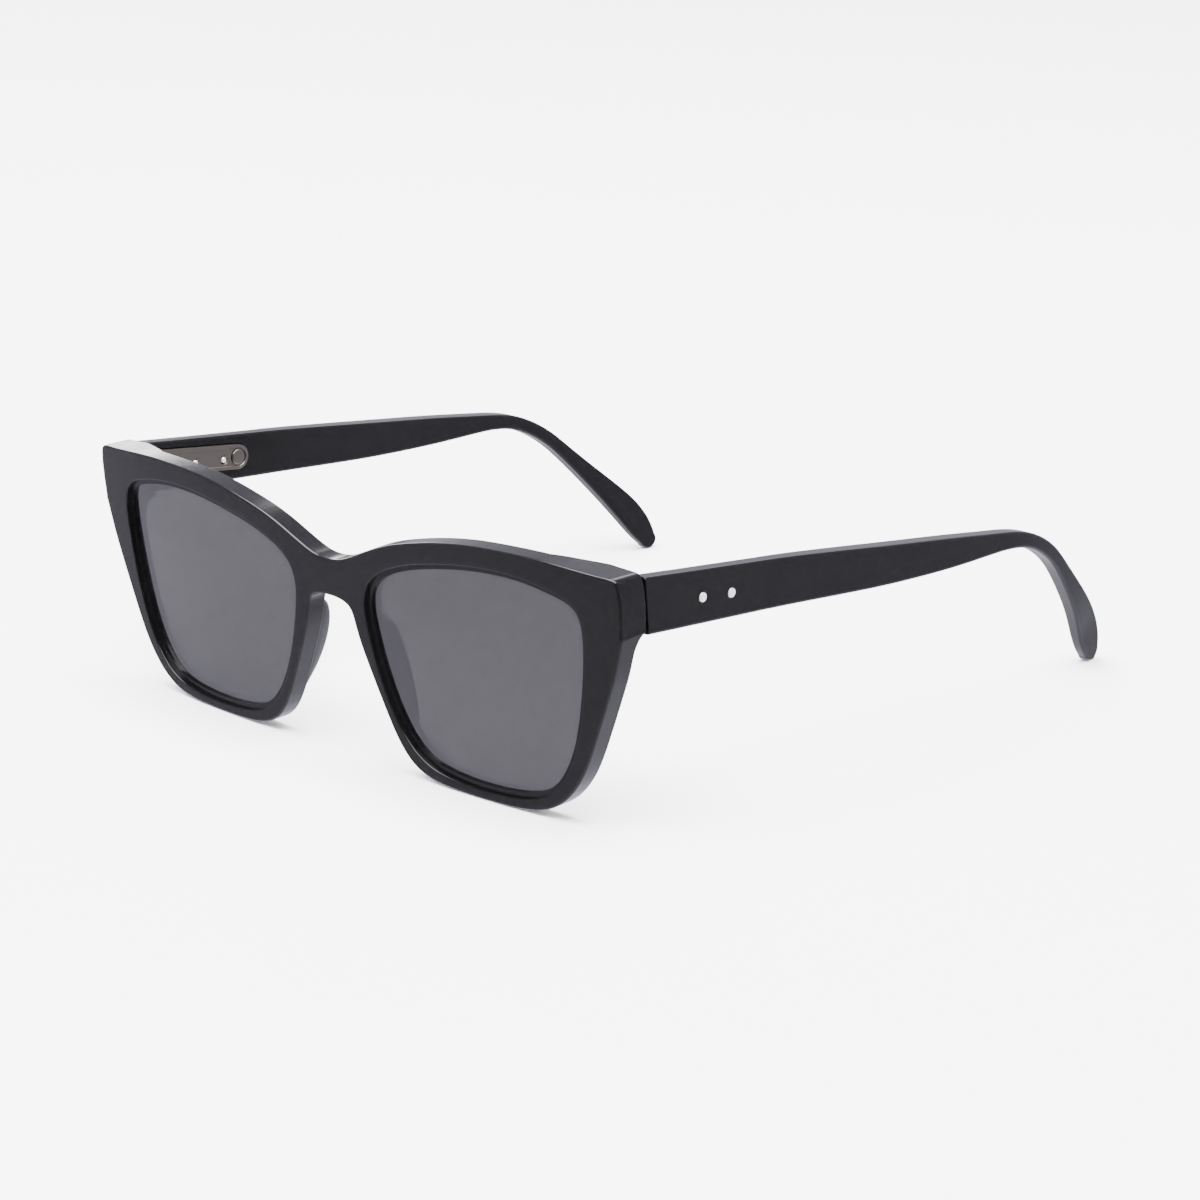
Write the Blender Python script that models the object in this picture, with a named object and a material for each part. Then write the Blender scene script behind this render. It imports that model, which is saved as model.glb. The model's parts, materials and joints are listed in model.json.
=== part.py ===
"""Cat eye sunglasses: acetate front and temples, tinted lenses, spring hinges.

Front frame, in millimetres: X to the wearer's left, Y backwards from the front face,
Z up along the front, with Z = 0 under the rims.  Hinge frame: origin on the hinge screw's
axis, X outwards, Y along the temple, Z up across it.  The whole is leaned back at the end,
until the rims and the ear tips stand on the table together.
"""
import bpy
import bmesh
import numpy as np
from math import cos, pi, radians, sin, sqrt
from mathutils import Vector

MM = 0.001
SIDES = (("left", 1), ("right", -1))

# ---- front: driving sizes, mm ----
EYE_WIDTH = 53.9            # lens opening, across
EYE_HEIGHT = 41.8           # lens opening, top to bottom
BRIDGE_WIDTH = 19.4         # between the two lens openings
RIM_UNDER = 1.7             # acetate below the lens opening
RIM_DEPTH = 4.1             # rim, front to back
ENDPIECE_REACH = 8.4        # from the lens opening to the front's outer side
ENDPIECE_DEPTH = 10.2       # the endpiece's back face, behind the bridge's front face
ENDPIECE_WIDTH = 8.0        # that back face, across
ENDPIECE_HEIGHT = 10.6      # from the endpiece's foot up to the front's top edge
ENDPIECE_BEVEL = 10.0       # sloped stretch from the rim's back to the endpiece's back
BEVEL_STEP = 0.2            # low step where that slope starts
ENDPIECE_DROP = 0.8         # the endpiece slopes down to meet the temple
WRAP_DEPTH = 4.1            # how far the front's outer sides bow back from its middle
BRIDGE_TOP = 5.7            # top of the bridge, below the top of the lens opening
BRIDGE_HEIGHT = 7.0         # bridge, top to bottom

# The lens opening's outline, in shares of its width and height, with the rim's width in mm
# outside each point; 0 where the outline belongs to the bridge or the endpiece instead.
EYE_SHAPE = (
    (0.018, 0.782, 0), (0.171, 0.907, 4.1), (0.354, 0.964, 3.9), (0.536, 0.995, 3.8),
    (0.718, 0.998, 4.0), (0.868, 0.969, 5.1), (0.980, 0.900, 0), (0.998, 0.691, 6.7),
    (0.959, 0.392, 3.7), (0.894, 0.182, 2.75), (0.777, 0.045, 2.2), (0.570, 0.002, RIM_UNDER),
    (0.378, 0.010, 1.9), (0.206, 0.079, 2.6), (0.083, 0.292, 2.0), (0.015, 0.557, 3.3))
EYE_STEPS = 5               # facets between two points of the lens opening
OUTLINE_STEPS = 4           # facets between two points of the front's outline

# ---- lens and its groove, mm ----
LENS_THICKNESS = 1.8
LENS_GRIP = 0.7             # how far the lens edge stands in the groove
GROOVE_SLACK = 0.3          # free space round the lens edge in the groove

# ---- nose pads, mm ----
PAD_TOP = 27.3              # height of the pad's upper end
PAD_LENGTH = 18.8           # down to its lower end
PAD_HEIGHT = 3.6            # how far its ridge stands behind the rim
GLUE_GAP = 0.25             # between the pad and the rim

# ---- temples, mm ----
TEMPLE_SLOPE = radians(10.5)
TEMPLE_REACH = 97.0         # hinge screw to the bend over the ear
TEMPLE_STRAIGHT = 27.0      # flat stretch that holds the hinge housing
SEAM_GAP = 0.3              # between the temple's butt end and the endpiece
BUTT_THICKNESS = 3.3        # temple at its butt end
EDGE_ROUND = 0.7            # rounding of the temple's long edges
# One row per cross-section: place along the reach (share), middle's height, height of the
# section, outward bow and thickness, all in mm.
ARM_SECTIONS = (
    (0.36, 0.42, 8.7, 0.2, 3.5), (0.50, 0.80, 8.0, 0.6, 3.8), (0.62, 1.17, 7.2, 0.9, 4.0),
    (0.775, 1.90, 5.7, 1.1, 4.1), (0.90, 2.62, 3.9, 1.0, 4.1), (1.0, 2.45, 3.0, 0.6, 3.9))
BUTT_MIDDLE, BUTT_HEIGHT = -0.88, 9.8
# The ear tip: place past the bend, height, section height, bow and thickness, all in mm.
EAR_SECTIONS = (
    (8.4, -0.5, 2.95, -0.5, 3.6), (15.2, -5.2, 3.2, -2.0, 3.4), (23.5, -11.9, 4.6, -4.4, 3.2),
    (29.6, -17.4, 5.9, -6.8, 2.9), (33.1, -21.4, 5.6, -8.2, 2.7), (35.0, -24.0, 4.2, -9.0, 2.5))
SECTION_STEPS = 4           # rings between two cross-sections

# ---- hinge, mm ----
PIN_INSET = 5.0             # screw axis, inside the front's outer side
PIN_CLEAR = 0.4             # between the barrel and the endpiece's back face
HINGE_DROP = 2.6            # screw axis's middle, below the top of the lens opening
BARREL_RADIUS = 1.4
BARREL_HEIGHT = 5.2
SCREW_RADIUS = 0.6
SCREW_HEAD_RADIUS = 1.0
SCREW_HEAD_HEIGHT = 0.5
RUNNING_GAP = 0.12          # between moving hinge pieces
MIDDLE_KNUCKLE = 2.0        # height of the slider's knuckle
LEAF_THICKNESS = 1.0
LEAF_HEIGHT = 6.0
WEB_STEP = 0.2              # the webs stop this far inside the knuckles' ends
LEAF_INSIDE, LEAF_OUTSIDE = 2.5, 1.0   # leaf's reach each way from the screw axis
ANCHOR_LENGTH = 2.6
ANCHOR_WIDTH = 2.0
FIT_GAP = 0.2               # round pieces that are let into the acetate

# ---- spring housing on the temple, mm ----
HOUSING_LENGTH = 24.8       # screw axis to the housing's rounded end
HOUSING_WIDTH = 5.0
HOUSING_PROUD = 0.7         # stands above the temple's inner face
HOUSING_THICKNESS = 2.6
GUIDE_WALL = 1.6            # front wall that guides the rod
CHAMBER_RADIUS = 1.0
CHAMBER_LENGTH = 7.1
ROD_RADIUS = 0.45
ROD_END = 9.6
STOP_RADIUS = 0.85
STOP_LENGTH = 0.8
SPRING_RADIUS = 0.72        # to the middle of the wire
SPRING_WIRE = 0.14
SPRING_TURNS = 5
CAP_RADIUS = 1.8
CAP_DEPTH = 1.0
CAP_PROUD = 0.15

# ---- rivets and core wire, mm ----
RIVET_FIRST = 11.8          # from the screw axis
RIVET_SPACING = 7.0
RIVET_DROP = 0.35           # below the housing's middle line
RIVET_RADIUS = 0.6
RIVET_HEAD_RADIUS = 0.95
RIVET_HEAD_HEIGHT = 0.4
RIVET_HEAD_PROUD = 0.1
RIVET_GAP = 0.15
CORE_RADIUS = 0.65
CORE_GAP = 0.2
CORE_START = 26.2
CORE_END_SHORT = 9.0        # how far the wire stops before the last cross-section

# ---- derived places in the front frame, mm ----
EYE_INSIDE = BRIDGE_WIDTH / 2
EYE_TOP = RIM_UNDER + EYE_HEIGHT
FRONT_HALF = EYE_INSIDE + EYE_WIDTH + ENDPIECE_REACH
PIN_X = FRONT_HALF - PIN_INSET
PIN_BACK = BARREL_RADIUS + PIN_CLEAR              # screw axis, behind the endpiece
PIN_Y = ENDPIECE_DEPTH + PIN_BACK
PIN_Z = EYE_TOP - HINGE_DROP
INNER_FACE = PIN_INSET - BUTT_THICKNESS           # hinge frame X of the temple's inner face
HOUSING_INSIDE = INNER_FACE - HOUSING_PROUD
HOUSING_OUTSIDE = HOUSING_INSIDE + HOUSING_THICKNESS
HOUSING_START = BARREL_RADIUS + FIT_GAP
CHANNEL_X = (HOUSING_INSIDE + HOUSING_OUTSIDE) / 2
CHAMBER_START = HOUSING_START + GUIDE_WALL


# ---------------------------------------------------------------- curves

def spline(points, steps, closed=False):
    """Smooth curve through the points, with the given number of steps between two of them."""
    p = np.array(points, float)
    n = len(p)
    a = np.diag(np.full(n, 4.0)) + np.diag(np.ones(n - 1), 1) + np.diag(np.ones(n - 1), -1)
    if closed:
        a[0, -1] = a[-1, 0] = 1
        right = 3 * (np.roll(p, -1, 0) - np.roll(p, 1, 0))
    else:
        a[0, 0] = a[-1, -1] = 2
        right = 3 * (np.vstack([p[1:], p[-1:]]) - np.vstack([p[:1], p[:-1]]))
    slope = np.linalg.solve(a, right)
    curve = []
    for i in range(n if closed else n - 1):
        j = (i + 1) % n
        for t in np.arange(steps) / steps:
            curve.append(p[i] * (1 + 2 * t) * (1 - t) ** 2 + slope[i] * t * (1 - t) ** 2
                         + p[j] * t * t * (3 - 2 * t) + slope[j] * t * t * (t - 1))
    if not closed:
        curve.append(p[-1])
    return np.array(curve)


def outward(loop):
    """Unit normals of a closed loop of (x, z) points, pointing away from its inside."""
    along = np.roll(loop, -1, 0) - np.roll(loop, 1, 0)
    along /= np.linalg.norm(along, axis=1)[:, None]
    area = np.sum(loop[:, 0] * np.roll(loop[:, 1], -1) - np.roll(loop[:, 0], -1) * loop[:, 1])
    turn = 1 if area > 0 else -1
    return turn * np.stack([along[:, 1], -along[:, 0]], 1)


def wrap(x):
    """How far back the front face lies at a place across the front."""
    u2 = (x / FRONT_HALF) ** 2
    return WRAP_DEPTH * (2 * u2 + u2 * u2) / 3


def eye_points():
    """The lens opening's own points, in the front frame."""
    share = np.array(EYE_SHAPE)[:, :2]
    return share * (EYE_WIDTH, EYE_HEIGHT) + (EYE_INSIDE, RIM_UNDER)


def eye_loop(offset=0.0):
    """The left lens opening as a closed loop, grown outwards by an offset."""
    loop = spline(eye_points(), EYE_STEPS, closed=True)
    return loop + outward(loop) * offset


def front_outline():
    """The front's whole outer outline: rim widths outside the eyes, endpieces and bridge."""
    eye = eye_points()
    rim = np.array(EYE_SHAPE)[:, 2]
    edge = eye + outward(spline(eye, EYE_STEPS, closed=True))[::EYE_STEPS] * rim[:, None]
    bridge_z = EYE_TOP - BRIDGE_TOP
    under_z = bridge_z - BRIDGE_HEIGHT
    top_z = edge[4:6, 1].max()
    over_bridge = [(EYE_INSIDE * 0.42, bridge_z + 0.6), (EYE_INSIDE * 1.05, bridge_z + 3.0)]
    corner = [(FRONT_HALF - 4.4, top_z - 0.9), (FRONT_HALF - 0.6, top_z - 1.7),
              (FRONT_HALF, top_z - 5.7), (FRONT_HALF - 0.2, top_z - 10.5)]
    under_bridge = [(EYE_INSIDE * 0.54, under_z - 1.2)]
    half = over_bridge + [tuple(p) for p in edge[1:6]] + corner
    half += [tuple(p) for p in edge[7:]] + under_bridge
    left = [(0.0, bridge_z)] + half + [(0.0, under_z)]
    right = [(-x, z) for x, z in reversed(half)]
    return spline(left + right, OUTLINE_STEPS, closed=True)


# ---------------------------------------------------------------- meshes

def material(name, colour, roughness, metallic=0.0, alpha=1.0):
    made = bpy.data.materials.get(name)
    if made is None:
        made = bpy.data.materials.new(name)
        made.use_nodes = True
        shader = made.node_tree.nodes["Principled BSDF"]
        shader.inputs["Base Color"].default_value = (*colour, 1.0)
        shader.inputs["Roughness"].default_value = roughness
        shader.inputs["Metallic"].default_value = metallic
        shader.inputs["Alpha"].default_value = alpha
    return made


def acetate():
    return material("black acetate", (0.012, 0.012, 0.013), 0.22)


def lens_tint():
    return material("grey tinted lens", (0.09, 0.09, 0.10), 0.05, alpha=0.6)


def nickel():
    return material("satin nickel silver", (0.43, 0.41, 0.38), 0.35, 1.0)


def steel():
    return material("polished steel", (0.80, 0.80, 0.79), 0.18, 1.0)


def add_object(name, bm, mat, parent):
    """Turn a bmesh in millimetres into an object in metres."""
    bmesh.ops.remove_doubles(bm, verts=bm.verts, dist=1e-5)
    bmesh.ops.recalc_face_normals(bm, faces=bm.faces)
    bmesh.ops.scale(bm, vec=(MM, MM, MM), verts=bm.verts)
    mesh = bpy.data.meshes.new(name)
    bm.to_mesh(mesh)
    bm.free()
    mesh.materials.append(mat)
    mesh.shade_smooth()
    mesh.set_sharp_from_angle(angle=radians(30))
    made = bpy.data.objects.new(name, mesh)
    bpy.context.scene.collection.objects.link(made)
    made.parent = parent
    return made


def loft(rings, cap=True, closed=False):
    """Skin over rings of points; with closed, the last ring joins the first."""
    bm = bmesh.new()
    made = [[bm.verts.new(p) for p in ring] for ring in rings]
    count = len(made[0])
    pairs = list(zip(made, made[1:] + made[:1])) if closed else list(zip(made, made[1:]))
    for low, high in pairs:
        for i in range(count):
            j = (i + 1) % count
            bm.faces.new((low[i], low[j], high[j], high[i]))
    if cap and not closed:
        bm.faces.new(made[0])
        bm.faces.new(made[-1])
    return bm


def box(low, high):
    """A box between two corners."""
    (x0, y0, z0), (x1, y1, z1) = low, high
    base = ((x0, y0), (x1, y0), (x1, y1), (x0, y1))
    return loft([[(x, y, z) for x, y in base] for z in (z0, z1)])


def turned(profile, axis, centre, sides=20):
    """Turn a closed (radius, distance) profile round an axis: 0 is X, 1 is Y, 2 is Z."""
    bm = bmesh.new()
    others = [i for i in range(3) if i != axis]
    rings = []
    for radius, distance in profile:
        ring = []
        for k in range(sides if radius > 0 else 1):
            angle = 2 * pi * k / sides
            point = list(centre)
            point[axis] += distance
            point[others[0]] += radius * cos(angle)
            point[others[1]] += radius * sin(angle)
            ring.append(bm.verts.new(point))
        rings.append(ring)
    for a, b in zip(rings, rings[1:] + rings[:1]):
        for k in range(sides):
            j = (k + 1) % sides
            corners = [a[k % len(a)], a[j % len(a)], b[j % len(b)], b[k % len(b)]]
            corners = [v for i, v in enumerate(corners) if v not in corners[:i]]
            if len(corners) > 2:
                bm.faces.new(corners)
    return bm


def rod(radius, start, end, axis, centre, sides=20):
    """A plain round rod along an axis."""
    return turned([(0, start), (radius, start), (radius, end), (0, end)], axis, centre, sides)


def tube_along(path, radius, sides):
    """A round wire along a path of points."""
    path = [Vector(p) for p in path]
    rings = []
    across = None
    for i, point in enumerate(path):
        along = (path[min(i + 1, len(path) - 1)] - path[max(i - 1, 0)]).normalized()
        if across is None:
            across = along.orthogonal().normalized()
        across = (across - along * across.dot(along)).normalized()
        other = along.cross(across)
        rings.append([point + radius * (across * cos(2 * pi * k / sides)
                                        + other * sin(2 * pi * k / sides))
                      for k in range(sides)])
    return loft(rings)


def sided(bm, side):
    """Mirror a left-hand shape when the side is the right one."""
    bmesh.ops.scale(bm, vec=(side, 1, 1), verts=bm.verts)
    return bm


def boolean(target, operation, cutters):
    """Join or cut closed shapes; the cutters stay as hidden guides."""
    for cutter in cutters:
        step = target.modifiers.new(cutter.name, "BOOLEAN")
        step.operation = operation
        step.solver = "EXACT"
        step.object = cutter
        cutter.hide_render = True
        cutter.display_type = "WIRE"


def guide(name, bm, parent):
    return add_object(name, bm, acetate(), parent)


def empty(name, parent=None, place=(0, 0, 0), turn=0.0):
    made = bpy.data.objects.new(name, None)
    bpy.context.scene.collection.objects.link(made)
    made.parent = parent
    made.location = [c * MM for c in place]
    made.rotation_euler = (turn, 0, 0)
    return made


# ---------------------------------------------------------------- front

def endpiece_share(x):
    """0 where the endpiece's bevel starts on the rim, 1 from where its back face is flat."""
    start = FRONT_HALF - ENDPIECE_WIDTH - ENDPIECE_BEVEL
    return min(max((abs(x) - start) / ENDPIECE_BEVEL, 0.0), 1.0)


def front_plate():
    """The front as one plate with two lens openings, bowed, its endpieces thickened."""
    bm = bmesh.new()
    loops = [front_outline(), eye_loop(), eye_loop() * (-1, 1)]
    for loop in loops:
        ring = [bm.verts.new((x, 0, z)) for x, z in loop]
        for a, b in zip(ring, ring[1:] + ring[:1]):
            bm.edges.new((a, b))
    bmesh.ops.triangle_fill(bm, edges=bm.edges[:], use_beauty=True)
    back = bmesh.ops.extrude_face_region(bm, geom=bm.faces[:], use_keep_orig=True)
    for v in back["geom"]:
        if isinstance(v, bmesh.types.BMVert):
            v.co.y = RIM_DEPTH
    bevel_start = FRONT_HALF - ENDPIECE_WIDTH - ENDPIECE_BEVEL
    foot_y = wrap(bevel_start) + RIM_DEPTH + BEVEL_STEP
    foot_z = front_top() - ENDPIECE_HEIGHT
    cuts = [((0, 0, foot_z), (0, 0, 1))]
    for side in (1, -1):
        cuts += [((side * (bevel_start + d), 0, 0), (1, 0, 0))
                 for d in (0, ENDPIECE_BEVEL / 2, ENDPIECE_BEVEL)]
    for place, normal in cuts:
        bmesh.ops.bisect_plane(bm, geom=bm.verts[:] + bm.edges[:] + bm.faces[:],
                               plane_co=place, plane_no=normal)
    raised = []
    for face in bm.faces:
        middle = face.calc_center_median()
        flat = all(abs(v.co.y - RIM_DEPTH) < 1e-4 for v in face.verts)
        if flat and abs(middle.x) > bevel_start and middle.z > foot_z:
            raised.append(face)
    lifted = bmesh.ops.extrude_face_region(bm, geom=raised)
    top = {v for v in lifted["geom"] if isinstance(v, bmesh.types.BMVert)}
    bmesh.ops.delete(bm, geom=raised, context="FACES_ONLY")
    for v in bm.verts:
        if v in top:
            share = endpiece_share(v.co.x)
            v.co.z -= ENDPIECE_DROP * share
            v.co.y = foot_y + (ENDPIECE_DEPTH - foot_y) * share
        else:
            v.co.y += wrap(v.co.x)
    return bm


def front_top():
    """Height of the front's top edge at the endpieces."""
    return front_outline()[:, 1].max() - 1.0


def groove_cutter(side):
    """A ring that mills the lens groove into one rim."""
    half = LENS_THICKNESS / 2 + GROOVE_SLACK
    inner, outer = eye_loop(-2.0), eye_loop(LENS_GRIP + GROOVE_SLACK)
    rings = []
    for loop, offset in ((inner, -half), (outer, -half), (outer, half), (inner, half)):
        rings.append([(x, wrap(x) + RIM_DEPTH / 2 + offset, z) for x, z in loop])
    return sided(loft(rings, closed=True), side)


def leaf_slots(side, gap):
    """The hinge leaf's plate and anchor as boxes, grown by a gap to cut their pocket."""
    z0, z1 = PIN_Z - LEAF_HEIGHT / 2 - gap, PIN_Z + LEAF_HEIGHT / 2 + gap
    x0, x1 = PIN_X - LEAF_INSIDE - gap, PIN_X + LEAF_OUTSIDE + gap
    deep = ENDPIECE_DEPTH - LEAF_THICKNESS
    plate = box((x0, deep - gap, z0), (x1, ENDPIECE_DEPTH + (2.0 if gap else 0.0), z1))
    middle = (x0 + x1) / 2
    half = ANCHOR_WIDTH / 2 + gap
    anchor = box((middle - half, deep - ANCHOR_LENGTH - gap, PIN_Z - half),
                 (middle + half, deep + 0.4, PIN_Z + half))
    return sided(plate, side), sided(anchor, side)


def make_front(frame):
    front = add_object("front", front_plate(), acetate(), frame)
    cutters = []
    for word, side in SIDES:
        cutters.append(guide("groove cutter " + word, groove_cutter(side), frame))
        plate, anchor = leaf_slots(side, FIT_GAP)
        cutters.append(guide("leaf pocket " + word, plate, frame))
        cutters.append(guide("anchor pocket " + word, anchor, frame))
    boolean(front, "DIFFERENCE", cutters)


def make_lens(frame, word, side):
    """A tinted lens: its edge stands in the groove, its faces follow the front's bow."""
    edge = eye_loop(LENS_GRIP)
    middle = edge.mean(0)
    rings = []
    for face in (-1, 1):
        shares = (0.25, 0.5, 0.75, 1.0) if face < 0 else (1.0, 0.75, 0.5, 0.25)
        for share in shares:
            loop = middle + (edge - middle) * share
            y = RIM_DEPTH / 2 + face * LENS_THICKNESS / 2
            rings.append([(x, wrap(x) + y, z) for x, z in loop])
    add_object("lens_" + word, sided(loft(rings), side), lens_tint(), frame)


def nose_side(loop, low, high):
    """The stretch of a loop that faces the nose, as height and distance, rising."""
    part = [(z, x) for x, z in loop if 0 < x < EYE_INSIDE + EYE_WIDTH / 2 and low < z < high]
    part = [p for p in part if p[1] < EYE_INSIDE + EYE_WIDTH * 0.3]
    return np.array(sorted(part)).T


def make_nose_pad(frame, word, side):
    """A crescent of acetate on the back of the rim, its ridge near the lens."""
    outline_z, outline_x = nose_side(front_outline(), 2.0, EYE_TOP - BRIDGE_TOP - BRIDGE_HEIGHT - 1.0)
    eye_z, eye_x = nose_side(eye_loop(), 4.0, EYE_TOP - BRIDGE_TOP)
    rings = []
    for s in np.linspace(0.02, 0.98, 15):
        z = PAD_TOP - PAD_LENGTH * s
        nose = np.interp(z, outline_z, outline_x) + 0.25
        lens = np.interp(z, eye_z, eye_x) - 0.3
        rise = PAD_HEIGHT * sqrt(sin(pi * s ** 0.7))
        foot = wrap(nose) + RIM_DEPTH + GLUE_GAP
        foot_lens = wrap(lens) + RIM_DEPTH + GLUE_GAP
        wide = lens - nose
        section = [(nose, foot), (nose + 0.14 * wide, foot + 0.40 * rise),
                   (nose + 0.45 * wide, foot + 0.80 * rise), (nose + 0.74 * wide, foot + rise),
                   (nose + 0.94 * wide, foot + 0.95 * rise), (lens, foot + 0.6 * rise),
                   (lens, foot_lens)]
        rings.append([(x, y, z) for x, y in section])
    add_object("nose_pad_" + word, sided(loft(rings), side), acetate(), frame)


# ---------------------------------------------------------------- hinge

def make_leaf(frame, hinge, word, side):
    """The front hinge leaf: plate, anchor and two knuckles, slotted for the middle one."""
    name = "front_hinge_leaf_" + word
    plate, anchor = leaf_slots(side, 0.0)
    leaf = add_object(name, plate, nickel(), frame)
    half = BARREL_HEIGHT / 2
    barrel = guide("barrel " + word, rod(BARREL_RADIUS, -half, half, 2, (0, 0, 0)), hinge)
    web_half = half - WEB_STEP
    web = guide("web " + word, sided(
        box((-0.8 * BARREL_RADIUS, -PIN_BACK - LEAF_THICKNESS / 2, -web_half),
            (0.7 * BARREL_RADIUS, 0.1 * BARREL_RADIUS, web_half)), side), hinge)
    foot = guide("anchor " + word, anchor, frame)
    boolean(leaf, "UNION", [foot, web, barrel])
    slot_half = MIDDLE_KNUCKLE / 2 + RUNNING_GAP
    reach = BARREL_RADIUS + RUNNING_GAP
    slot = guide("slot " + word, box((-2 * reach, -reach, -slot_half),
                                     (2 * reach, 2 * reach, slot_half)), hinge)
    bore = guide("bore " + word, rod(SCREW_RADIUS + RUNNING_GAP, -half - 1, half + 1, 2,
                                     (0, 0, 0)), hinge)
    boolean(leaf, "DIFFERENCE", [slot, bore])


def make_screw(hinge, word):
    low, high = -BARREL_HEIGHT / 2 + 0.2, BARREL_HEIGHT / 2 + 0.15
    profile = [(0, low), (SCREW_RADIUS, low), (SCREW_RADIUS, high), (SCREW_HEAD_RADIUS, high),
               (SCREW_HEAD_RADIUS, high + SCREW_HEAD_HEIGHT * 0.6),
               (SCREW_HEAD_RADIUS * 0.7, high + SCREW_HEAD_HEIGHT), (0, high + SCREW_HEAD_HEIGHT)]
    add_object("hinge_screw_" + word, turned(profile, 2, (0, 0, 0)), steel(), hinge)


def make_slider(hinge, word, side):
    """The sprung slider: a knuckle on the screw, an arm, and a rod into the housing."""
    half = MIDDLE_KNUCKLE / 2
    bore = SCREW_RADIUS + RUNNING_GAP
    knuckle = rod(BARREL_RADIUS, -half, half, 2, (0, 0, 0))
    slider = add_object("hinge_slider_" + word, knuckle, nickel(), hinge)
    back = HOUSING_START - SEAM_GAP
    arm = guide("slider arm " + word, sided(
        box((0, 0.3, -half * 0.95), (CHANNEL_X + ROD_RADIUS + 0.3, back, half * 0.95)), side), hinge)
    shaft = guide("slider rod " + word, sided(
        rod(ROD_RADIUS, back - 0.5, ROD_END, 1, (CHANNEL_X, 0, 0), 16), side), hinge)
    boolean(slider, "UNION", [arm, shaft])
    hole = guide("slider bore " + word, rod(bore, -half - 1, half + 1, 2, (0, 0, 0)), hinge)
    boolean(slider, "DIFFERENCE", [hole])


def make_spring(hinge, word, side):
    """The coil spring on the rod, between the guide wall and the stop."""
    stop_start = ROD_END - STOP_LENGTH - 0.2
    start = CHAMBER_START + SPRING_WIRE + 0.1
    end = stop_start - SPRING_WIRE - 0.1
    path = []
    per_turn = 12
    for k in range(SPRING_TURNS * per_turn + 1):
        angle = 2 * pi * k / per_turn
        y = start + (end - start) * k / (SPRING_TURNS * per_turn)
        path.append((CHANNEL_X + SPRING_RADIUS * cos(angle), y, SPRING_RADIUS * sin(angle)))
    add_object("flex_spring_" + word, sided(tube_along(path, SPRING_WIRE, 6), side),
               steel(), hinge)
    ring = [(ROD_RADIUS + RUNNING_GAP, stop_start), (STOP_RADIUS, stop_start),
            (STOP_RADIUS, stop_start + STOP_LENGTH),
            (ROD_RADIUS + RUNNING_GAP, stop_start + STOP_LENGTH)]
    add_object("spring_stop_" + word, sided(turned(ring, 1, (CHANNEL_X, 0, 0), 16), side),
               steel(), hinge)


def housing_shape(gap, inside, outside, start):
    """The housing's outline, square at the hinge and round at its end, between two faces."""
    half = HOUSING_WIDTH / 2 + gap
    middle = HOUSING_LENGTH - HOUSING_WIDTH / 2
    outline = [(start, -half)]
    outline += [(middle + half * cos(a), half * sin(a)) for a in np.linspace(-pi / 2, pi / 2, 13)]
    outline += [(start, half)]
    return loft([[(x, y, z) for y, z in outline] for x in (inside, outside)])


def rivet_places():
    return (("front", RIVET_FIRST), ("rear", RIVET_FIRST + RIVET_SPACING))


def make_housing(hinge, word, side):
    """The spring housing with its chamber, rod guide, rivet holes and cap seat."""
    housing = add_object("hinge_housing_" + word, sided(
        housing_shape(0.0, HOUSING_INSIDE, HOUSING_OUTSIDE, HOUSING_START), side),
        nickel(), hinge)
    centre = (CHANNEL_X, 0, 0)
    cutters = [
        rod(ROD_RADIUS + RUNNING_GAP, HOUSING_START - 1, CHAMBER_START + 0.5, 1, centre, 16),
        rod(CHAMBER_RADIUS, CHAMBER_START, CHAMBER_START + CHAMBER_LENGTH, 1, centre, 16)]
    for _, place in rivet_places():
        cutters.append(rod(RIVET_RADIUS + RIVET_GAP, HOUSING_INSIDE - 1, HOUSING_OUTSIDE + 1,
                           0, (0, place, -RIVET_DROP), 16))
    cap_y = HOUSING_LENGTH - HOUSING_WIDTH / 2
    cutters.append(rod(CAP_RADIUS + RUNNING_GAP, HOUSING_INSIDE - 1,
                       HOUSING_INSIDE + CAP_DEPTH + RUNNING_GAP, 0, (0, cap_y, 0), 24))
    boolean(housing, "DIFFERENCE", [
        guide("housing cutter %d %s" % (i, word), sided(c, side), hinge)
        for i, c in enumerate(cutters)])
    top = HOUSING_INSIDE - CAP_PROUD
    profile = [(0, top), (CAP_RADIUS * 0.85, top), (CAP_RADIUS, top + 0.25),
               (CAP_RADIUS, HOUSING_INSIDE + CAP_DEPTH), (0, HOUSING_INSIDE + CAP_DEPTH)]
    add_object("housing_cap_" + word, sided(turned(profile, 0, (0, cap_y, 0), 24), side),
               nickel(), hinge)


def make_rivets(hinge, word, side):
    """Each rivet: head sunk in the temple's outer face, shank through to the housing."""
    head = PIN_INSET + RIVET_HEAD_PROUD
    for place_word, place in rivet_places():
        profile = [(0, HOUSING_INSIDE + 0.1), (RIVET_RADIUS, HOUSING_INSIDE + 0.1),
                   (RIVET_RADIUS, head - RIVET_HEAD_HEIGHT),
                   (RIVET_HEAD_RADIUS, head - RIVET_HEAD_HEIGHT),
                   (RIVET_HEAD_RADIUS, head - 0.1), (RIVET_HEAD_RADIUS * 0.6, head), (0, head)]
        add_object("rivet_%s_%s" % (place_word, word),
                   sided(turned(profile, 0, (0, place, -RIVET_DROP), 16), side), steel(), hinge)


# ---------------------------------------------------------------- temple

def butt_y(z):
    """The temple's butt end in the hinge frame: parallel to the endpiece's back face."""
    return (SEAM_GAP - PIN_BACK - z * sin(TEMPLE_SLOPE)) / cos(TEMPLE_SLOPE)


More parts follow.
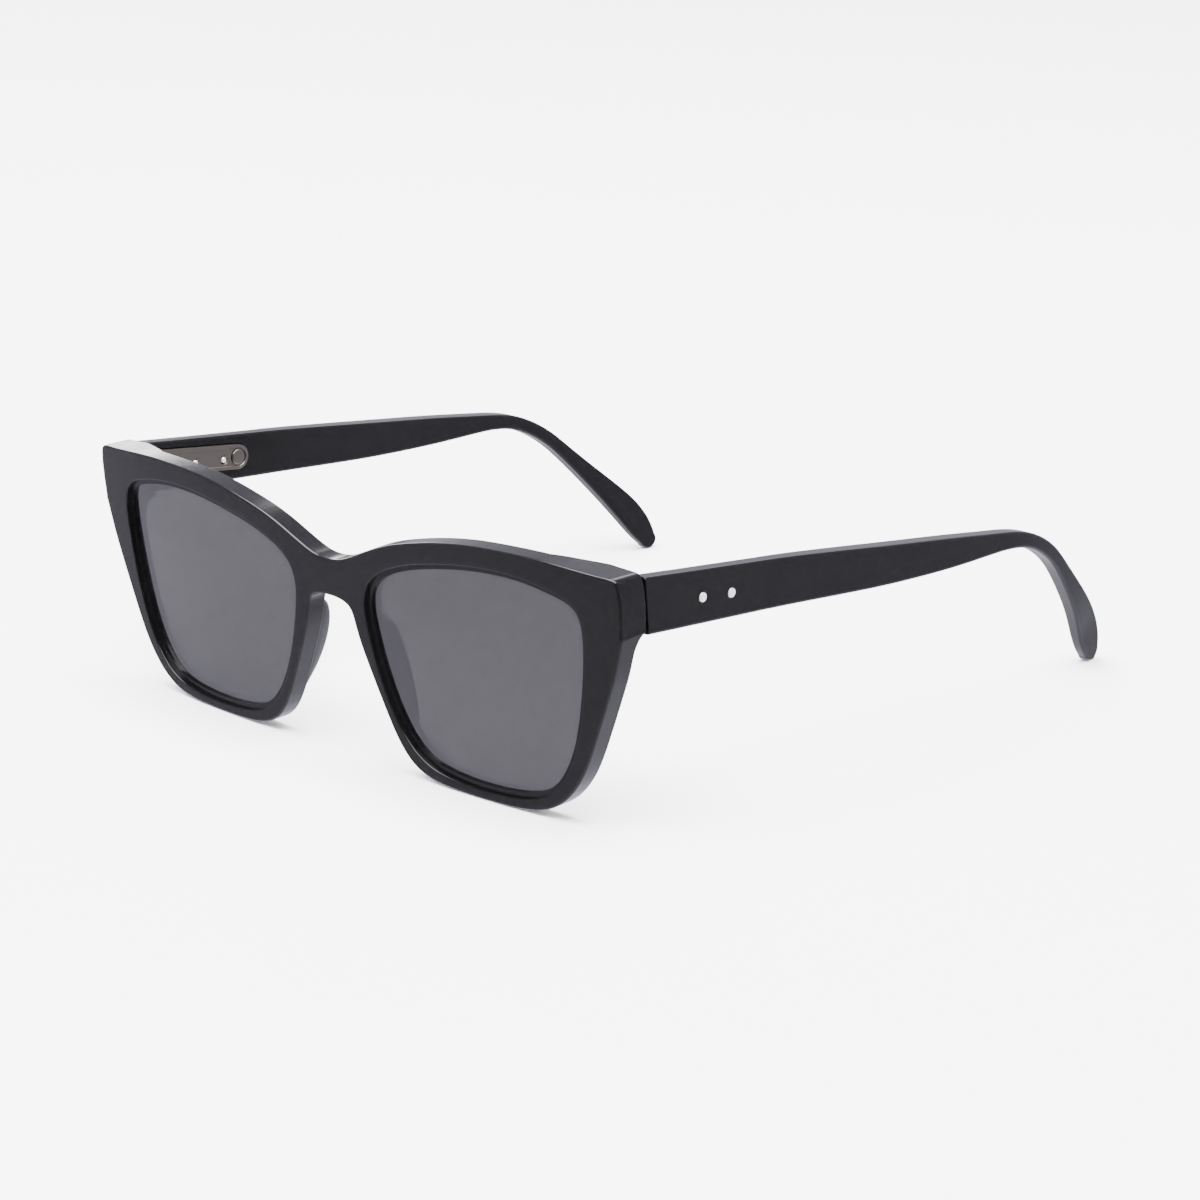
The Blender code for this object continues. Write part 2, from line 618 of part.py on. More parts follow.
def temple_stations():
    """Rows of place, middle's height, section height, bow and thickness, smoothed."""
    rows = [(share * TEMPLE_REACH, *rest) for share, *rest in ARM_SECTIONS]
    rows += [(TEMPLE_REACH + past, *rest) for past, *rest in EAR_SECTIONS]
    share = TEMPLE_STRAIGHT / rows[0][0]
    first = (TEMPLE_STRAIGHT, BUTT_MIDDLE + (rows[0][1] - BUTT_MIDDLE) * share,
             BUTT_HEIGHT + (rows[0][2] - BUTT_HEIGHT) * share, 0.0, BUTT_THICKNESS)
    return spline([first] + rows, SECTION_STEPS)


def section_ring(middle, up, bow, height, thickness):
    """A rounded rectangle: its outer face at the bow, its height along an up direction."""
    radius = min(EDGE_ROUND, 0.4 * height, 0.4 * thickness)
    outside = PIN_INSET + bow
    corners = ((outside, 1), (outside - thickness, 1), (outside - thickness, -1), (outside, -1))
    ring = []
    for k, (x, top) in enumerate(corners):
        inward = -1 if x == outside else 1
        for angle in np.radians((0, 45, 90)):
            a = angle if k % 2 == 0 else pi / 2 - angle
            across = x + inward * radius * (1 - cos(a))
            along = top * (height / 2 - radius * (1 - sin(a)))
            ring.append((across, middle[0] + up[0] * along, middle[1] + up[1] * along))
    return ring


def temple_rings():
    """Cross-sections from the butt end to the rounded ear tip."""
    rows = temple_stations()
    butt = section_ring((0, BUTT_MIDDLE), (0, 1), 0.0, BUTT_HEIGHT, BUTT_THICKNESS)
    rings = [[(x, butt_y(z), z) for x, _, z in butt]]
    along = np.gradient(rows[:, :2], axis=0)
    along[0] = (1, 0)
    along /= np.linalg.norm(along, axis=1)[:, None]
    for row, (dy, dz) in zip(rows, along):
        rings.append(section_ring(row[:2], (-dz, dy), row[3], row[2], row[4]))
    end, (dy, dz) = rows[-1], along[-1]
    half = end[2] / 2
    lean_in = (rows[-1][3] - rows[-2][3]) / np.linalg.norm(rows[-1][:2] - rows[-2][:2])
    for angle in np.radians((25, 48, 68, 82)):
        past = half * sin(angle)
        middle = end[:2] + np.array((dy, dz)) * past
        rings.append(section_ring(middle, (-dz, dy), end[3] + lean_in * past,
                                  end[2] * cos(angle), end[4] * cos(angle) ** 0.25))
    return rings


def core_path():
    """The middle line of the temple, for the core wire."""
    rows = temple_stations()
    points = [(PIN_INSET - BUTT_THICKNESS / 2, CORE_START, rows[0][1])]
    length = 0.0
    limit = np.linalg.norm(np.diff(rows[:, :2], axis=0), axis=1).sum() - CORE_END_SHORT
    for before, row in zip(rows, rows[1:]):
        length += np.linalg.norm(row[:2] - before[:2])
        if length < limit:
            points.append((PIN_INSET + row[3] - row[4] / 2, row[0], row[1]))
    return points


def make_temple(hinge, word, side):
    temple = add_object("temple_" + word, sided(loft(temple_rings()), side), acetate(), hinge)
    start = butt_y(BUTT_HEIGHT) - 1
    cutters = [housing_shape(FIT_GAP, HOUSING_INSIDE - 1, HOUSING_OUTSIDE + FIT_GAP, start)]
    shank, head = RIVET_RADIUS + RIVET_GAP, RIVET_HEAD_RADIUS + RIVET_GAP
    seat = PIN_INSET + RIVET_HEAD_PROUD - RIVET_HEAD_HEIGHT - RIVET_GAP
    for _, place in rivet_places():
        profile = [(0, INNER_FACE - 1), (shank, INNER_FACE - 1), (shank, seat), (head, seat),
                   (head, PIN_INSET + 1), (0, PIN_INSET + 1)]
        cutters.append(turned(profile, 0, (0, place, -RIVET_DROP), 16))
    path = core_path()
    first = (path[0][0], HOUSING_LENGTH - 1.0, path[0][2])
    last = Vector(path[-1]) + (Vector(path[-1]) - Vector(path[-2])).normalized() * 0.5
    cutters.append(tube_along([first] + path[1:] + [last], CORE_RADIUS + CORE_GAP, 8))
    boolean(temple, "DIFFERENCE", [
        guide("temple cutter %d %s" % (i, word), sided(c, side), hinge)
        for i, c in enumerate(cutters)])
    add_object("core_wire_" + word, sided(tube_along(path, CORE_RADIUS, 8), side),
               steel(), hinge)


# ---------------------------------------------------------------- assembly

def stand_on_table(frame):
    """Lean the whole back until rims and ear tips touch the table, centred over the origin."""
    points = []
    for made in bpy.data.objects:
        if made.type == "MESH" and not made.hide_render:
            points += [tuple(made.matrix_world @ v.co) for v in made.data.vertices]
    points = np.array(points)
    y, z = points[:, 1], points[:, 2]
    far = y > y.max() / 2

    def heights(lean):
        low = y * sin(lean) + z * cos(lean)
        return low[~far].min(), low[far].min()

    low, high = 0.0, radians(20)
    for _ in range(50):
        lean = (low + high) / 2
        rims, tips = heights(lean)
        low, high = (lean, high) if tips < rims else (low, lean)
    depth = y * cos(lean) - z * sin(lean)
    frame.rotation_euler = (lean, 0, 0)
    frame.location = (0, -(depth.min() + depth.max()) / 2, -min(heights(lean)))


def main():
    for made in list(bpy.data.objects):
        bpy.data.objects.remove(made, do_unlink=True)
    frame = empty("glasses frame")
    make_front(frame)
    for word, side in SIDES:
        hinge = empty("hinge axis " + word, frame, (side * PIN_X, PIN_Y, PIN_Z), -TEMPLE_SLOPE)
        make_lens(frame, word, side)
        make_nose_pad(frame, word, side)
        make_leaf(frame, hinge, word, side)
        make_screw(hinge, word)
        make_slider(hinge, word, side)
        make_spring(hinge, word, side)
        make_housing(hinge, word, side)
        make_rivets(hinge, word, side)
        make_temple(hinge, word, side)
    bpy.context.view_layer.update()
    stand_on_table(frame)
    bpy.context.view_layer.update()


main()
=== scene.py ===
"""Cat eye sunglasses, finished: polished acetate, tinted lenses, spring hinges and rivets.

The pieces are built in two frames, both in millimetres.  Front frame: X to the wearer's
left, Y backwards from the middle of the front face, Z up along the front.  Hinge frame:
origin on the hinge screw's axis, X outwards, Y along the temple, Z up across it.
"""
import json
from math import cos, pi, radians, sin, sqrt

import bmesh
import bpy
import numpy as np
from bpy.props import (BoolProperty, FloatProperty, FloatVectorProperty, IntProperty,
                       PointerProperty)
from mathutils import Matrix, Vector


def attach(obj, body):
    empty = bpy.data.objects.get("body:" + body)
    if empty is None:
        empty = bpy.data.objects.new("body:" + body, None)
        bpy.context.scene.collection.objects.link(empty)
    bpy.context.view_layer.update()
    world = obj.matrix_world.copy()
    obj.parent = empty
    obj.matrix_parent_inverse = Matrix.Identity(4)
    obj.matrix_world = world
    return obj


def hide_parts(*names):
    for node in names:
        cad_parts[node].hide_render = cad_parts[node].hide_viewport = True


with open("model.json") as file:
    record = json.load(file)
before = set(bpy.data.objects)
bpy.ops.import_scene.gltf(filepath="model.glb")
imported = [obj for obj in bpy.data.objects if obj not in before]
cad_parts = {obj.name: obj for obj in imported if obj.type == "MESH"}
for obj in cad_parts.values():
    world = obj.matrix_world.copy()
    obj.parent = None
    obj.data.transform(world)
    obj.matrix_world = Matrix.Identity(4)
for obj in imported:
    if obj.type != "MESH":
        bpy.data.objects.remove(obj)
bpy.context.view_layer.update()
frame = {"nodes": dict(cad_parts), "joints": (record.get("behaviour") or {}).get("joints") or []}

bl_info = {
    "name": "Cat eye sunglasses",
    "version": (1, 0, 0),
    "blender": (4, 5, 0),
    "location": "View3D > Sidebar > Sunglasses",
    "description": "Acetate cat eye sunglasses with tinted lenses and spring hinges",
    "category": "Object",
}

MM = 0.001
SIDES = (("left", 1), ("right", -1))
FRONT_BODY = "front frame"

# ---- front, mm ----
EYE_WIDTH = 53.9            # lens opening, across
EYE_HEIGHT = 41.8           # lens opening, top to bottom
BRIDGE_WIDTH = 19.4         # between the two lens openings
RIM_UNDER = 1.7             # acetate below the lens opening
RIM_DEPTH = 4.1             # rim, front to back
ENDPIECE_REACH = 8.4        # from the lens opening to the front's outer side
ENDPIECE_DEPTH = 10.2       # the endpiece's back face, behind the bridge's front face
ENDPIECE_WIDTH = 8.0        # that back face, across
ENDPIECE_HEIGHT = 10.6      # from the endpiece's foot up to the front's top edge
ENDPIECE_BEVEL = 10.0       # sloped stretch from the rim's back to the endpiece's back
EYE_EDGE = 0.5              # edge rounding of the lens openings, as a share of the rest
BEVEL_STEP = 0.2            # low step where that slope starts
ENDPIECE_DROP = 0.8         # the endpiece slopes down to meet the temple
WRAP_DEPTH = 4.1            # how far the front's outer sides bow back from its middle
COVE = 4.0                  # height of the hollow under the endpiece
CREASE_LENGTH = 7.2         # straight stretch of the outline below the endpiece's foot
CREASE_INSET = 2.2          # how far the outline runs in over that stretch
CREASE_TOP = 0.12           # and how far in it starts
BRIDGE_TOP = 5.7            # top of the bridge, below the top of the lens opening
BRIDGE_HEIGHT = 7.0         # bridge, top to bottom
PEAK = 1.0                  # the corner's peak, above the edge the endpiece is measured from

# Points of the outline between the eyes: share of the way out to the lens opening, then mm
# above the bridge's top or below its underside.
OVER_BRIDGE = ((0.42, 0.6), (1.05, 3.0))
UNDER_BRIDGE = (0.54, 1.2)
# Points round the endpiece: mm in from the front's side and down from the rim's top.
CORNER = ((4.4, 0.9), (0.6, 1.7), (0.0, 5.7), (0.2, 10.5))

# The front's faces are cut into strips so that they can bow and rise smoothly.
STRIP_WIDTH = 1.5
STRIP_REACH = 70.5          # the outermost cut, either side of the middle
COVE_CUTS = (1.02, 0.85, 0.7, 0.56, 0.43, 0.32, 0.22, 0.13, 0.06, 0.02, 0.0)  # shares of the cove
RISE_START, RISE_SPAN = 0.3, 0.55   # where the endpiece starts to stretch, shares of the rim
SLOPE_FROM, SLOPE_SPAN = 40.0, 6.0  # heights over which its top starts to slope down

# The lens opening's outline, in shares of its width and height, with the rim's width in mm
# outside each point; 0 where the outline belongs to the bridge or the endpiece instead.
EYE_SHAPE = (
    (0.018, 0.782, 0), (0.171, 0.907, 4.1), (0.354, 0.964, 3.9), (0.536, 0.995, 3.8),
    (0.718, 0.998, 4.0), (0.868, 0.969, 5.1), (0.980, 0.900, 0), (0.998, 0.691, 6.7),
    (0.959, 0.392, 3.7), (0.894, 0.182, 2.75), (0.777, 0.045, 2.2), (0.570, 0.002, RIM_UNDER),
    (0.378, 0.010, 1.9), (0.206, 0.079, 2.6), (0.083, 0.292, 2.0), (0.015, 0.557, 3.3))

# ---- lens, mm ----
LENS_THICKNESS = 1.8
LENS_GRIP = 0.7             # how far the lens edge stands in its groove
GROOVE_SLACK = 0.3
LENS_DEPTH = 2.3            # the lens's middle, behind the front's face

# ---- nose pads, mm ----
PAD_TOP = 27.3
PAD_LENGTH = 18.8
PAD_HEIGHT = 3.6

# ---- temples, mm ----
TEMPLE_SLOPE = radians(10.5)
TEMPLE_REACH = 97.0         # hinge screw to the bend over the ear
TEMPLE_STRAIGHT = 27.0      # flat stretch that holds the hinge housing
SEAM_GAP = 0.14             # temple to endpiece
BUTT_THICKNESS = 3.3
ARM_SECTIONS = (
    (0.36, 0.42, 8.7, 0.2, 3.5), (0.50, 0.80, 8.0, 0.6, 3.8), (0.62, 1.17, 7.2, 0.9, 4.0),
    (0.775, 1.90, 5.7, 1.1, 4.1), (0.90, 2.62, 3.9, 1.0, 4.1), (1.0, 2.45, 3.0, 0.6, 3.9))
BUTT_MIDDLE, BUTT_HEIGHT = -1.0, 10.1
EAR_SECTIONS = (
    (8.4, -0.5, 2.95, -0.5, 3.6), (15.2, -5.2, 3.2, -2.0, 3.4), (23.5, -11.9, 4.6, -4.4, 3.2),
    (29.6, -17.4, 5.9, -6.8, 2.9), (33.1, -21.4, 5.6, -8.2, 2.7), (35.0, -24.0, 4.2, -9.0, 2.5))

# ---- hinge and housing, mm ----
PIN_INSET = 5.0             # screw axis, inside the front's outer side
PIN_BACK = 1.8              # screw axis, behind the endpiece's back face
HINGE_DROP = 2.6            # screw axis's middle, below the top of the lens opening
HOUSING_LENGTH = 24.8
HOUSING_START = 1.6
HOUSING_WIDTH = 5.0
HOUSING_PROUD = 0.7
HOUSING_THICKNESS = 2.6
HOUSING_LIP = 0.6           # width of the raised rim round the housing's face
HOUSING_SINK = 0.16         # how deep the face lies inside that rim
POCKET_GAP = 0.22           # shadow gap round the housing
CAP_RADIUS = 1.8
CAP_DEPTH = 1.0
CAP_PROUD = 0.15
CAP_GROOVE = 0.24           # open ring round the cap's disc
RIVET_FIRST = 11.8
RIVET_SPACING = 7.0
RIVET_DROP = (0.6, 0.45)    # below the housing's middle line: front rivet, rear rivet
RIVET_RADIUS = 0.6
RIVET_HEAD_RADIUS = 0.84
RIVET_RECESS = 1.0          # radius of the sunk ring round each rivet head
SCREW_RADIUS = 0.6
SCREW_HEAD_RADIUS = 1.0
SCREW_HEAD_HEIGHT = 0.5
BARREL_HEIGHT = 5.2

# ---- derived places, mm ----
EYE_INSIDE = BRIDGE_WIDTH / 2
EYE_TOP = RIM_UNDER + EYE_HEIGHT
FRONT_HALF = EYE_INSIDE + EYE_WIDTH + ENDPIECE_REACH
PIN = Vector((FRONT_HALF - PIN_INSET, ENDPIECE_DEPTH + PIN_BACK, EYE_TOP - HINGE_DROP))
INNER_FACE = PIN_INSET - BUTT_THICKNESS
HOUSING_INSIDE = INNER_FACE - HOUSING_PROUD
HOUSING_OUTSIDE = HOUSING_INSIDE + HOUSING_THICKNESS
BEVEL_START = FRONT_HALF - ENDPIECE_WIDTH - ENDPIECE_BEVEL


# ---------------------------------------------------------------- settings

def linear(hex_colour):
    """An sRGB hex colour as linear red, green, blue and alpha."""
    parts = [int(hex_colour[i:i + 2], 16) / 255 for i in (1, 3, 5)]
    return tuple(c / 12.92 if c <= 0.04045 else ((c + 0.055) / 1.055) ** 2.4
                 for c in parts) + (1.0,)


def colour(name, description, hex_colour):
    return FloatVectorProperty(name=name, description=description, subtype="COLOR", size=4,
                               min=0.0, max=1.0, default=linear(hex_colour))


class AcetateSettings(bpy.types.PropertyGroup):
    body: colour("Acetate", "Colour of the acetate sheet", "#09090a")
    edge: FloatProperty(name="Edge rounding", description="Radius left on the polished edges",
                        default=0.45 * MM, min=0.1 * MM, max=0.8 * MM, unit="LENGTH")
    facets: IntProperty(name="Edge facets", description="Steps round each polished edge",
                        default=6, min=2, max=10)


class LensSettings(bpy.types.PropertyGroup):
    tint: colour("Tint", "Colour of the lens tint", "#0b0a0d")
    density: FloatProperty(name="Tint density", description="Share of light each face stops",
                           default=0.915, min=0.0, max=1.0, subtype="FACTOR")
    crown: FloatProperty(name="Crown", description="Bulge of the lens at its middle",
                         default=0.35 * MM, min=0.0, max=1.0 * MM, unit="LENGTH")


class HardwareSettings(bpy.types.PropertyGroup):
    nickel: colour("Nickel silver", "Colour of the hinge metal", "#746e67")
    steel: colour("Steel", "Colour of the rivets and screws", "#e2e2e0")
    screw_slots: BoolProperty(name="Screw slots", description="Cut a driver slot in each screw",
                              default=True)


class StageSettings(bpy.types.PropertyGroup):
    floor: colour("Floor", "Colour of the floor", "#f7f7f7")
    light: FloatProperty(name="Light", description="Strength of the studio lights",
                         default=1.0, min=0.0, max=10.0)
    azimuth: FloatProperty(name="Camera azimuth", description="Camera's turn round the object",
                           default=radians(46.575), subtype="ANGLE", unit="ROTATION")
    elevation: FloatProperty(name="Camera elevation", description="Camera's height angle",
                             default=radians(16.127), subtype="ANGLE", unit="ROTATION")
    distance: FloatProperty(name="Camera distance", description="Camera to the point it aims at",
                            default=0.6918, min=0.1, unit="LENGTH")
    lens: FloatProperty(name="Lens", description="Focal length in millimetres",
                        default=107.5, min=10.0)


# ---------------------------------------------------------------- frames

def hinge_matrix(word):
    """Hinge frame to world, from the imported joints; on the right it is mirrored in X."""
    joints = {j["name"]: j for j in frame["joints"]}
    along = Vector(joints[word + "_spring"]["axis"]).normalized()
    up = Vector(joints[word + "_fold"]["axis"]).normalized()
    up = -up if up.z < 0 else up
    place = Vector(joints[word + "_fold"]["pos_m"])
    side = Vector((1 if word == "left" else -1, 0, 0))
    return Matrix((side, along, up)).transposed().to_4x4(), place


def to_world(matrix, place):
    return Matrix.Translation(place) @ matrix @ Matrix.Scale(MM, 4)


def hinge_world(word):
    return to_world(*hinge_matrix(word))


def front_world():
    """Front frame to world: the hinge frame turned back by the temple's slope."""
    matrix, place = hinge_matrix("left")
    matrix = matrix @ Matrix.Rotation(TEMPLE_SLOPE, 4, "X")
    return to_world(matrix, place - (matrix @ PIN) * MM)


# ---------------------------------------------------------------- curves

def spline(points, steps, closed=False):
    """Smooth curve through the points, with the given number of steps between two of them."""
    p = np.array(points, float)
    n = len(p)
    a = np.diag(np.full(n, 4.0)) + np.diag(np.ones(n - 1), 1) + np.diag(np.ones(n - 1), -1)
    if closed:
        a[0, -1] = a[-1, 0] = 1
        right = 3 * (np.roll(p, -1, 0) - np.roll(p, 1, 0))
    else:
        a[0, 0] = a[-1, -1] = 2
        right = 3 * (np.vstack([p[1:], p[-1:]]) - np.vstack([p[:1], p[:-1]]))
    slope = np.linalg.solve(a, right)
    curve = []
    for i in range(n if closed else n - 1):
        j = (i + 1) % n
        for t in np.arange(steps) / steps:
            curve.append(p[i] * (1 + 2 * t) * (1 - t) ** 2 + slope[i] * t * (1 - t) ** 2
                         + p[j] * t * t * (3 - 2 * t) + slope[j] * t * t * (t - 1))
    if not closed:
        curve.append(p[-1])
    return np.array(curve)


def outward(loop):
    """Unit normals of a closed loop of (x, z) points, pointing away from its inside."""
    along = np.roll(loop, -1, 0) - np.roll(loop, 1, 0)
    along /= np.linalg.norm(along, axis=1)[:, None]
    area = np.sum(loop[:, 0] * np.roll(loop[:, 1], -1) - np.roll(loop[:, 0], -1) * loop[:, 1])
    turn = 1 if area > 0 else -1
    return turn * np.stack([along[:, 1], -along[:, 0]], 1)


def smooth(t):
    """0 to 1 with level ends."""
    t = min(max(t, 0.0), 1.0)
    return t * t * (3 - 2 * t)


def wrap(x):
    """How far back the front face lies at a place across the front."""
    u2 = (x / FRONT_HALF) ** 2
    return WRAP_DEPTH * (2 * u2 + u2 * u2) / 3


def eye_points():
    share = np.array(EYE_SHAPE)[:, :2]
    return share * (EYE_WIDTH, EYE_HEIGHT) + (EYE_INSIDE, RIM_UNDER)


def eye_loop(steps=12):
    """The left lens opening as a closed loop."""
    return spline(eye_points(), steps, closed=True)


def front_outline(steps=8):
    """The front's whole outer outline: rim widths outside the eyes, endpieces and bridge."""
    eye = eye_points()
    rim = np.array(EYE_SHAPE)[:, 2]
    edge = eye + outward(spline(eye, 5, closed=True))[::5] * rim[:, None]
    bridge_z = EYE_TOP - BRIDGE_TOP
    under_z = bridge_z - BRIDGE_HEIGHT
    top_z = edge[4:6, 1].max()
    over_bridge = [(EYE_INSIDE * share, bridge_z + rise) for share, rise in OVER_BRIDGE]
    corner = [(FRONT_HALF - inset, top_z - drop) for inset, drop in CORNER]
    under_bridge = [(EYE_INSIDE * UNDER_BRIDGE[0], under_z - UNDER_BRIDGE[1])]
    half = over_bridge + [tuple(p) for p in edge[1:6]] + corner
    half += [tuple(p) for p in edge[7:]] + under_bridge
    left = [(0.0, bridge_z)] + half + [(0.0, under_z)]
    right = [(-x, z) for x, z in reversed(half)]
    loop = spline(left + right, steps, closed=True)
    # The endpiece's side is flat down to its foot; the rim runs in straight from there.
    foot = loop[:, 1].max() - PEAK - ENDPIECE_HEIGHT
    snap = 0.05
    for point in loop:
        side = 1 if point[0] > 0 else -1
        below = (foot - point[1]) / CREASE_LENGTH
        if abs(point[0]) > FRONT_HALF - 4 and -snap < below < 1:
            if abs(below) < snap:
                point[1], below = foot, 0.0
            point[0] = side * (FRONT_HALF - CREASE_TOP - CREASE_INSET * below)
    return loop


FOOT_Z = front_outline()[:, 1].max() - PEAK - ENDPIECE_HEIGHT   # the endpiece's foot


# ---------------------------------------------------------------- mesh tools

def loft(rings):
    """A closed skin over rings of points, with a flat face at each end."""
    bm = bmesh.new()
    made = [[bm.verts.new(p) for p in ring] for ring in rings]
    count = len(made[0])
    for low, high in zip(made, made[1:]):
        for i in range(count):
            j = (i + 1) % count
            bm.faces.new((low[i], low[j], high[j], high[i]))
    bm.faces.new(made[0])
    bm.faces.new(made[-1])
    return bm


def turned(profile, axis, centre, sides=48, closed=True):
    """Turn a (radius, distance) profile round an axis: 0 is X, 1 is Y, 2 is Z.

    With closed, the profile's last point joins its first.
    """
    bm = bmesh.new()
    others = [i for i in range(3) if i != axis]
    rings = []
    for radius, distance in profile:
        ring = []
        for k in range(sides if radius > 0 else 1):
            angle = 2 * pi * k / sides
            point = list(centre)
            point[axis] += distance
            point[others[0]] += radius * cos(angle)
            point[others[1]] += radius * sin(angle)
            ring.append(bm.verts.new(point))
        rings.append(ring)
    following = rings[1:] + rings[:1] if closed else rings[1:]
    for a, b in zip(rings, following):
        for k in range(sides):
            j = (k + 1) % sides
            corners = [a[k % len(a)], a[j % len(a)], b[j % len(b)], b[k % len(b)]]
            corners = [v for i, v in enumerate(corners) if v not in corners[:i]]
            if len(corners) > 2:
                bm.faces.new(corners)
    return bm


def box(low, high):
    (x0, y0, z0), (x1, y1, z1) = low, high
    base = ((x0, y0), (x1, y0), (x1, y1), (x0, y1))
    return loft([[(x, y, z) for x, y in base] for z in (z0, z1)])


def plain_object(name, bm, world):
    """A mesh object in world coordinates, from a bmesh in a frame's millimetres."""
    bmesh.ops.remove_doubles(bm, verts=bm.verts, dist=1e-5)
    bmesh.ops.transform(bm, matrix=world, verts=bm.verts)
    bmesh.ops.recalc_face_normals(bm, faces=bm.faces)
    mesh = bpy.data.meshes.new(name)
    bm.to_mesh(mesh)
    bm.free()
    made = bpy.data.objects.new(name, mesh)
    bpy.context.scene.collection.objects.link(made)
    return made


def cut(made, cutters):
    """Cut closed shapes out of a piece, and keep the result as its mesh."""
    for cutter in cutters:
        step = made.modifiers.new(cutter.name, "BOOLEAN")
        step.operation = "DIFFERENCE"
        step.solver = "EXACT"
        step.object = cutter
    bpy.context.view_layer.update()
    graph = bpy.context.evaluated_depsgraph_get()
    result = bpy.data.meshes.new_from_object(made.evaluated_get(graph))
    made.modifiers.clear()
    old = made.data
    made.data = result
    bpy.data.meshes.remove(old)
    for cutter in cutters:
        bpy.data.objects.remove(cutter, do_unlink=True)


def finish_piece(made, material, body, replaces, angle=30.0):
    """Shade a piece, give it its material, tie it to its body, and hide the CAD node it replaces.
    """
    made.data.materials.clear()
    made.data.materials.append(material)
    creases = [e.index for e in made.data.edges if e.use_edge_sharp]
    made.data.shade_smooth()
    made.data.set_sharp_from_angle(angle=radians(angle))
    for i in creases:
        made.data.edges[i].use_edge_sharp = True
    weighted = made.modifiers.new("even shading", "WEIGHTED_NORMAL")
    weighted.mode = "FACE_AREA"
    weighted.keep_sharp = True
    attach(made, body)
    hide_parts(*replaces)


# ---------------------------------------------------------------- materials

def node(tree, kind, settings=None, **links):
    """Add a shader node: its settings, its plain inputs, and links from other sockets."""
    made = tree.nodes.new(kind)
    for key, value in (settings or {}).items():
        setattr(made, key, value)
    for key, value in links.items():
        socket = made.inputs[int(key[1:]) if key[1:].isdigit() else key.replace("_", " ")]
        if isinstance(value, bpy.types.NodeSocket):
            tree.links.new(value, socket)
        else:
            socket.default_value = value
    return made


def per_mm(size_mm):
    """Texture scale for a pattern that repeats about every size_mm millimetres."""
    return 1.0 / (size_mm * MM)


def new_material(name):
    material = bpy.data.materials.new(name)
    material.use_nodes = True
    return material, material.node_tree, material.node_tree.nodes["Principled BSDF"]


def acetate_material(settings):
    """Cellulose acetate, cut from sheet, tumbled and polished.

    Tumbling leaves a soft orange peel and a faint haze, so highlights are bright but a
    little blurred, and the black looks dark grey where it mirrors the room.
    """
    material, tree, shader = new_material("cellulose acetate, tumbled and polished")
    place = node(tree, "ShaderNodeTexCoord").outputs["Object"]
    cloud = node(tree, "ShaderNodeTexNoise", Vector=place, Scale=per_mm(9.0), Detail=3.0)
    dark = tuple(c * 0.86 for c in settings.body[:3]) + (1.0,)
    light = tuple(c * 1.14 for c in settings.body[:3]) + (1.0,)
    body = node(tree, "ShaderNodeMix", {"data_type": "RGBA"}, _0=cloud.outputs["Fac"],
                _6=dark, _7=light)
    haze = node(tree, "ShaderNodeTexNoise", Vector=place, Scale=per_mm(1.4), Detail=5.0)
    rough = node(tree, "ShaderNodeMapRange", Value=haze.outputs["Fac"], From_Min=0.3,
                 From_Max=0.7, To_Min=0.12, To_Max=0.18)
    peel = node(tree, "ShaderNodeTexNoise", Vector=place, Scale=per_mm(2.6), Detail=2.0)
    bump = node(tree, "ShaderNodeBump", Height=peel.outputs["Fac"], Strength=0.06,
                Distance=0.02 * MM)
    tree.links.new(body.outputs[2], shader.inputs["Base Color"])
    tree.links.new(rough.outputs["Result"], shader.inputs["Roughness"])
    tree.links.new(bump.outputs["Normal"], shader.inputs["Normal"])
    shader.inputs["IOR"].default_value = 1.48
    # The haze and wear on tumbled acetate take away about half of its mirror.
    shader.inputs["Specular IOR Level"].default_value = 0.25
    return material


def lens_material(settings):
    """Cast resin sheet, dyed neutral grey and hard coated.

    The dye stops most of the light, so what lies behind shows only faintly.  The hard coat
    keeps a clean mirror of the room, which gives the lens most of its grey.
    """
    material, tree, shader = new_material("cast resin lens, dyed grey and hard coated")
    place = node(tree, "ShaderNodeTexCoord").outputs["Object"]
    wipe = node(tree, "ShaderNodeTexNoise", Vector=place, Scale=per_mm(14.0), Detail=2.0)
    rough = node(tree, "ShaderNodeMapRange", Value=wipe.outputs["Fac"], From_Min=0.3,
                 From_Max=0.7, To_Min=0.01, To_Max=0.03)
    tree.links.new(rough.outputs["Result"], shader.inputs["Roughness"])
    shader.inputs["Base Color"].default_value = settings.tint
    shader.inputs["Alpha"].default_value = settings.density
    # Bare resin is 1.5; the hard coat and the dyed layer under it mirror more.
    shader.inputs["IOR"].default_value = 2.0
    return material


def nickel_material(settings):
    """Nickel silver, stamped, then satin brushed along its length.

    Fine scratches run with the temple and stretch each highlight across them, and the
    alloy is a slightly warm grey, not white.
    """
    material, tree, shader = new_material("nickel silver, satin brushed")
    place = node(tree, "ShaderNodeTexCoord").outputs["Object"]
    # Scratches are about 0.05 mm apart; they are drawn at 0.12 mm so that they show.
    grain = node(tree, "ShaderNodeMapping", Vector=place, Scale=(1.0, 0.06, 1.0))
    scratch = node(tree, "ShaderNodeTexNoise", Vector=grain.outputs["Vector"],
                   Scale=per_mm(0.12), Detail=3.0)
    rough = node(tree, "ShaderNodeMapRange", Value=scratch.outputs["Fac"], From_Min=0.3,
                 From_Max=0.7, To_Min=0.30, To_Max=0.44)
    bump = node(tree, "ShaderNodeBump", Height=scratch.outputs["Fac"], Strength=0.12,
                Distance=0.01 * MM)
    tree.links.new(rough.outputs["Result"], shader.inputs["Roughness"])
    tree.links.new(bump.outputs["Normal"], shader.inputs["Normal"])
    shader.inputs["Base Color"].default_value = settings.nickel
    shader.inputs["Metallic"].default_value = 1.0
    return material


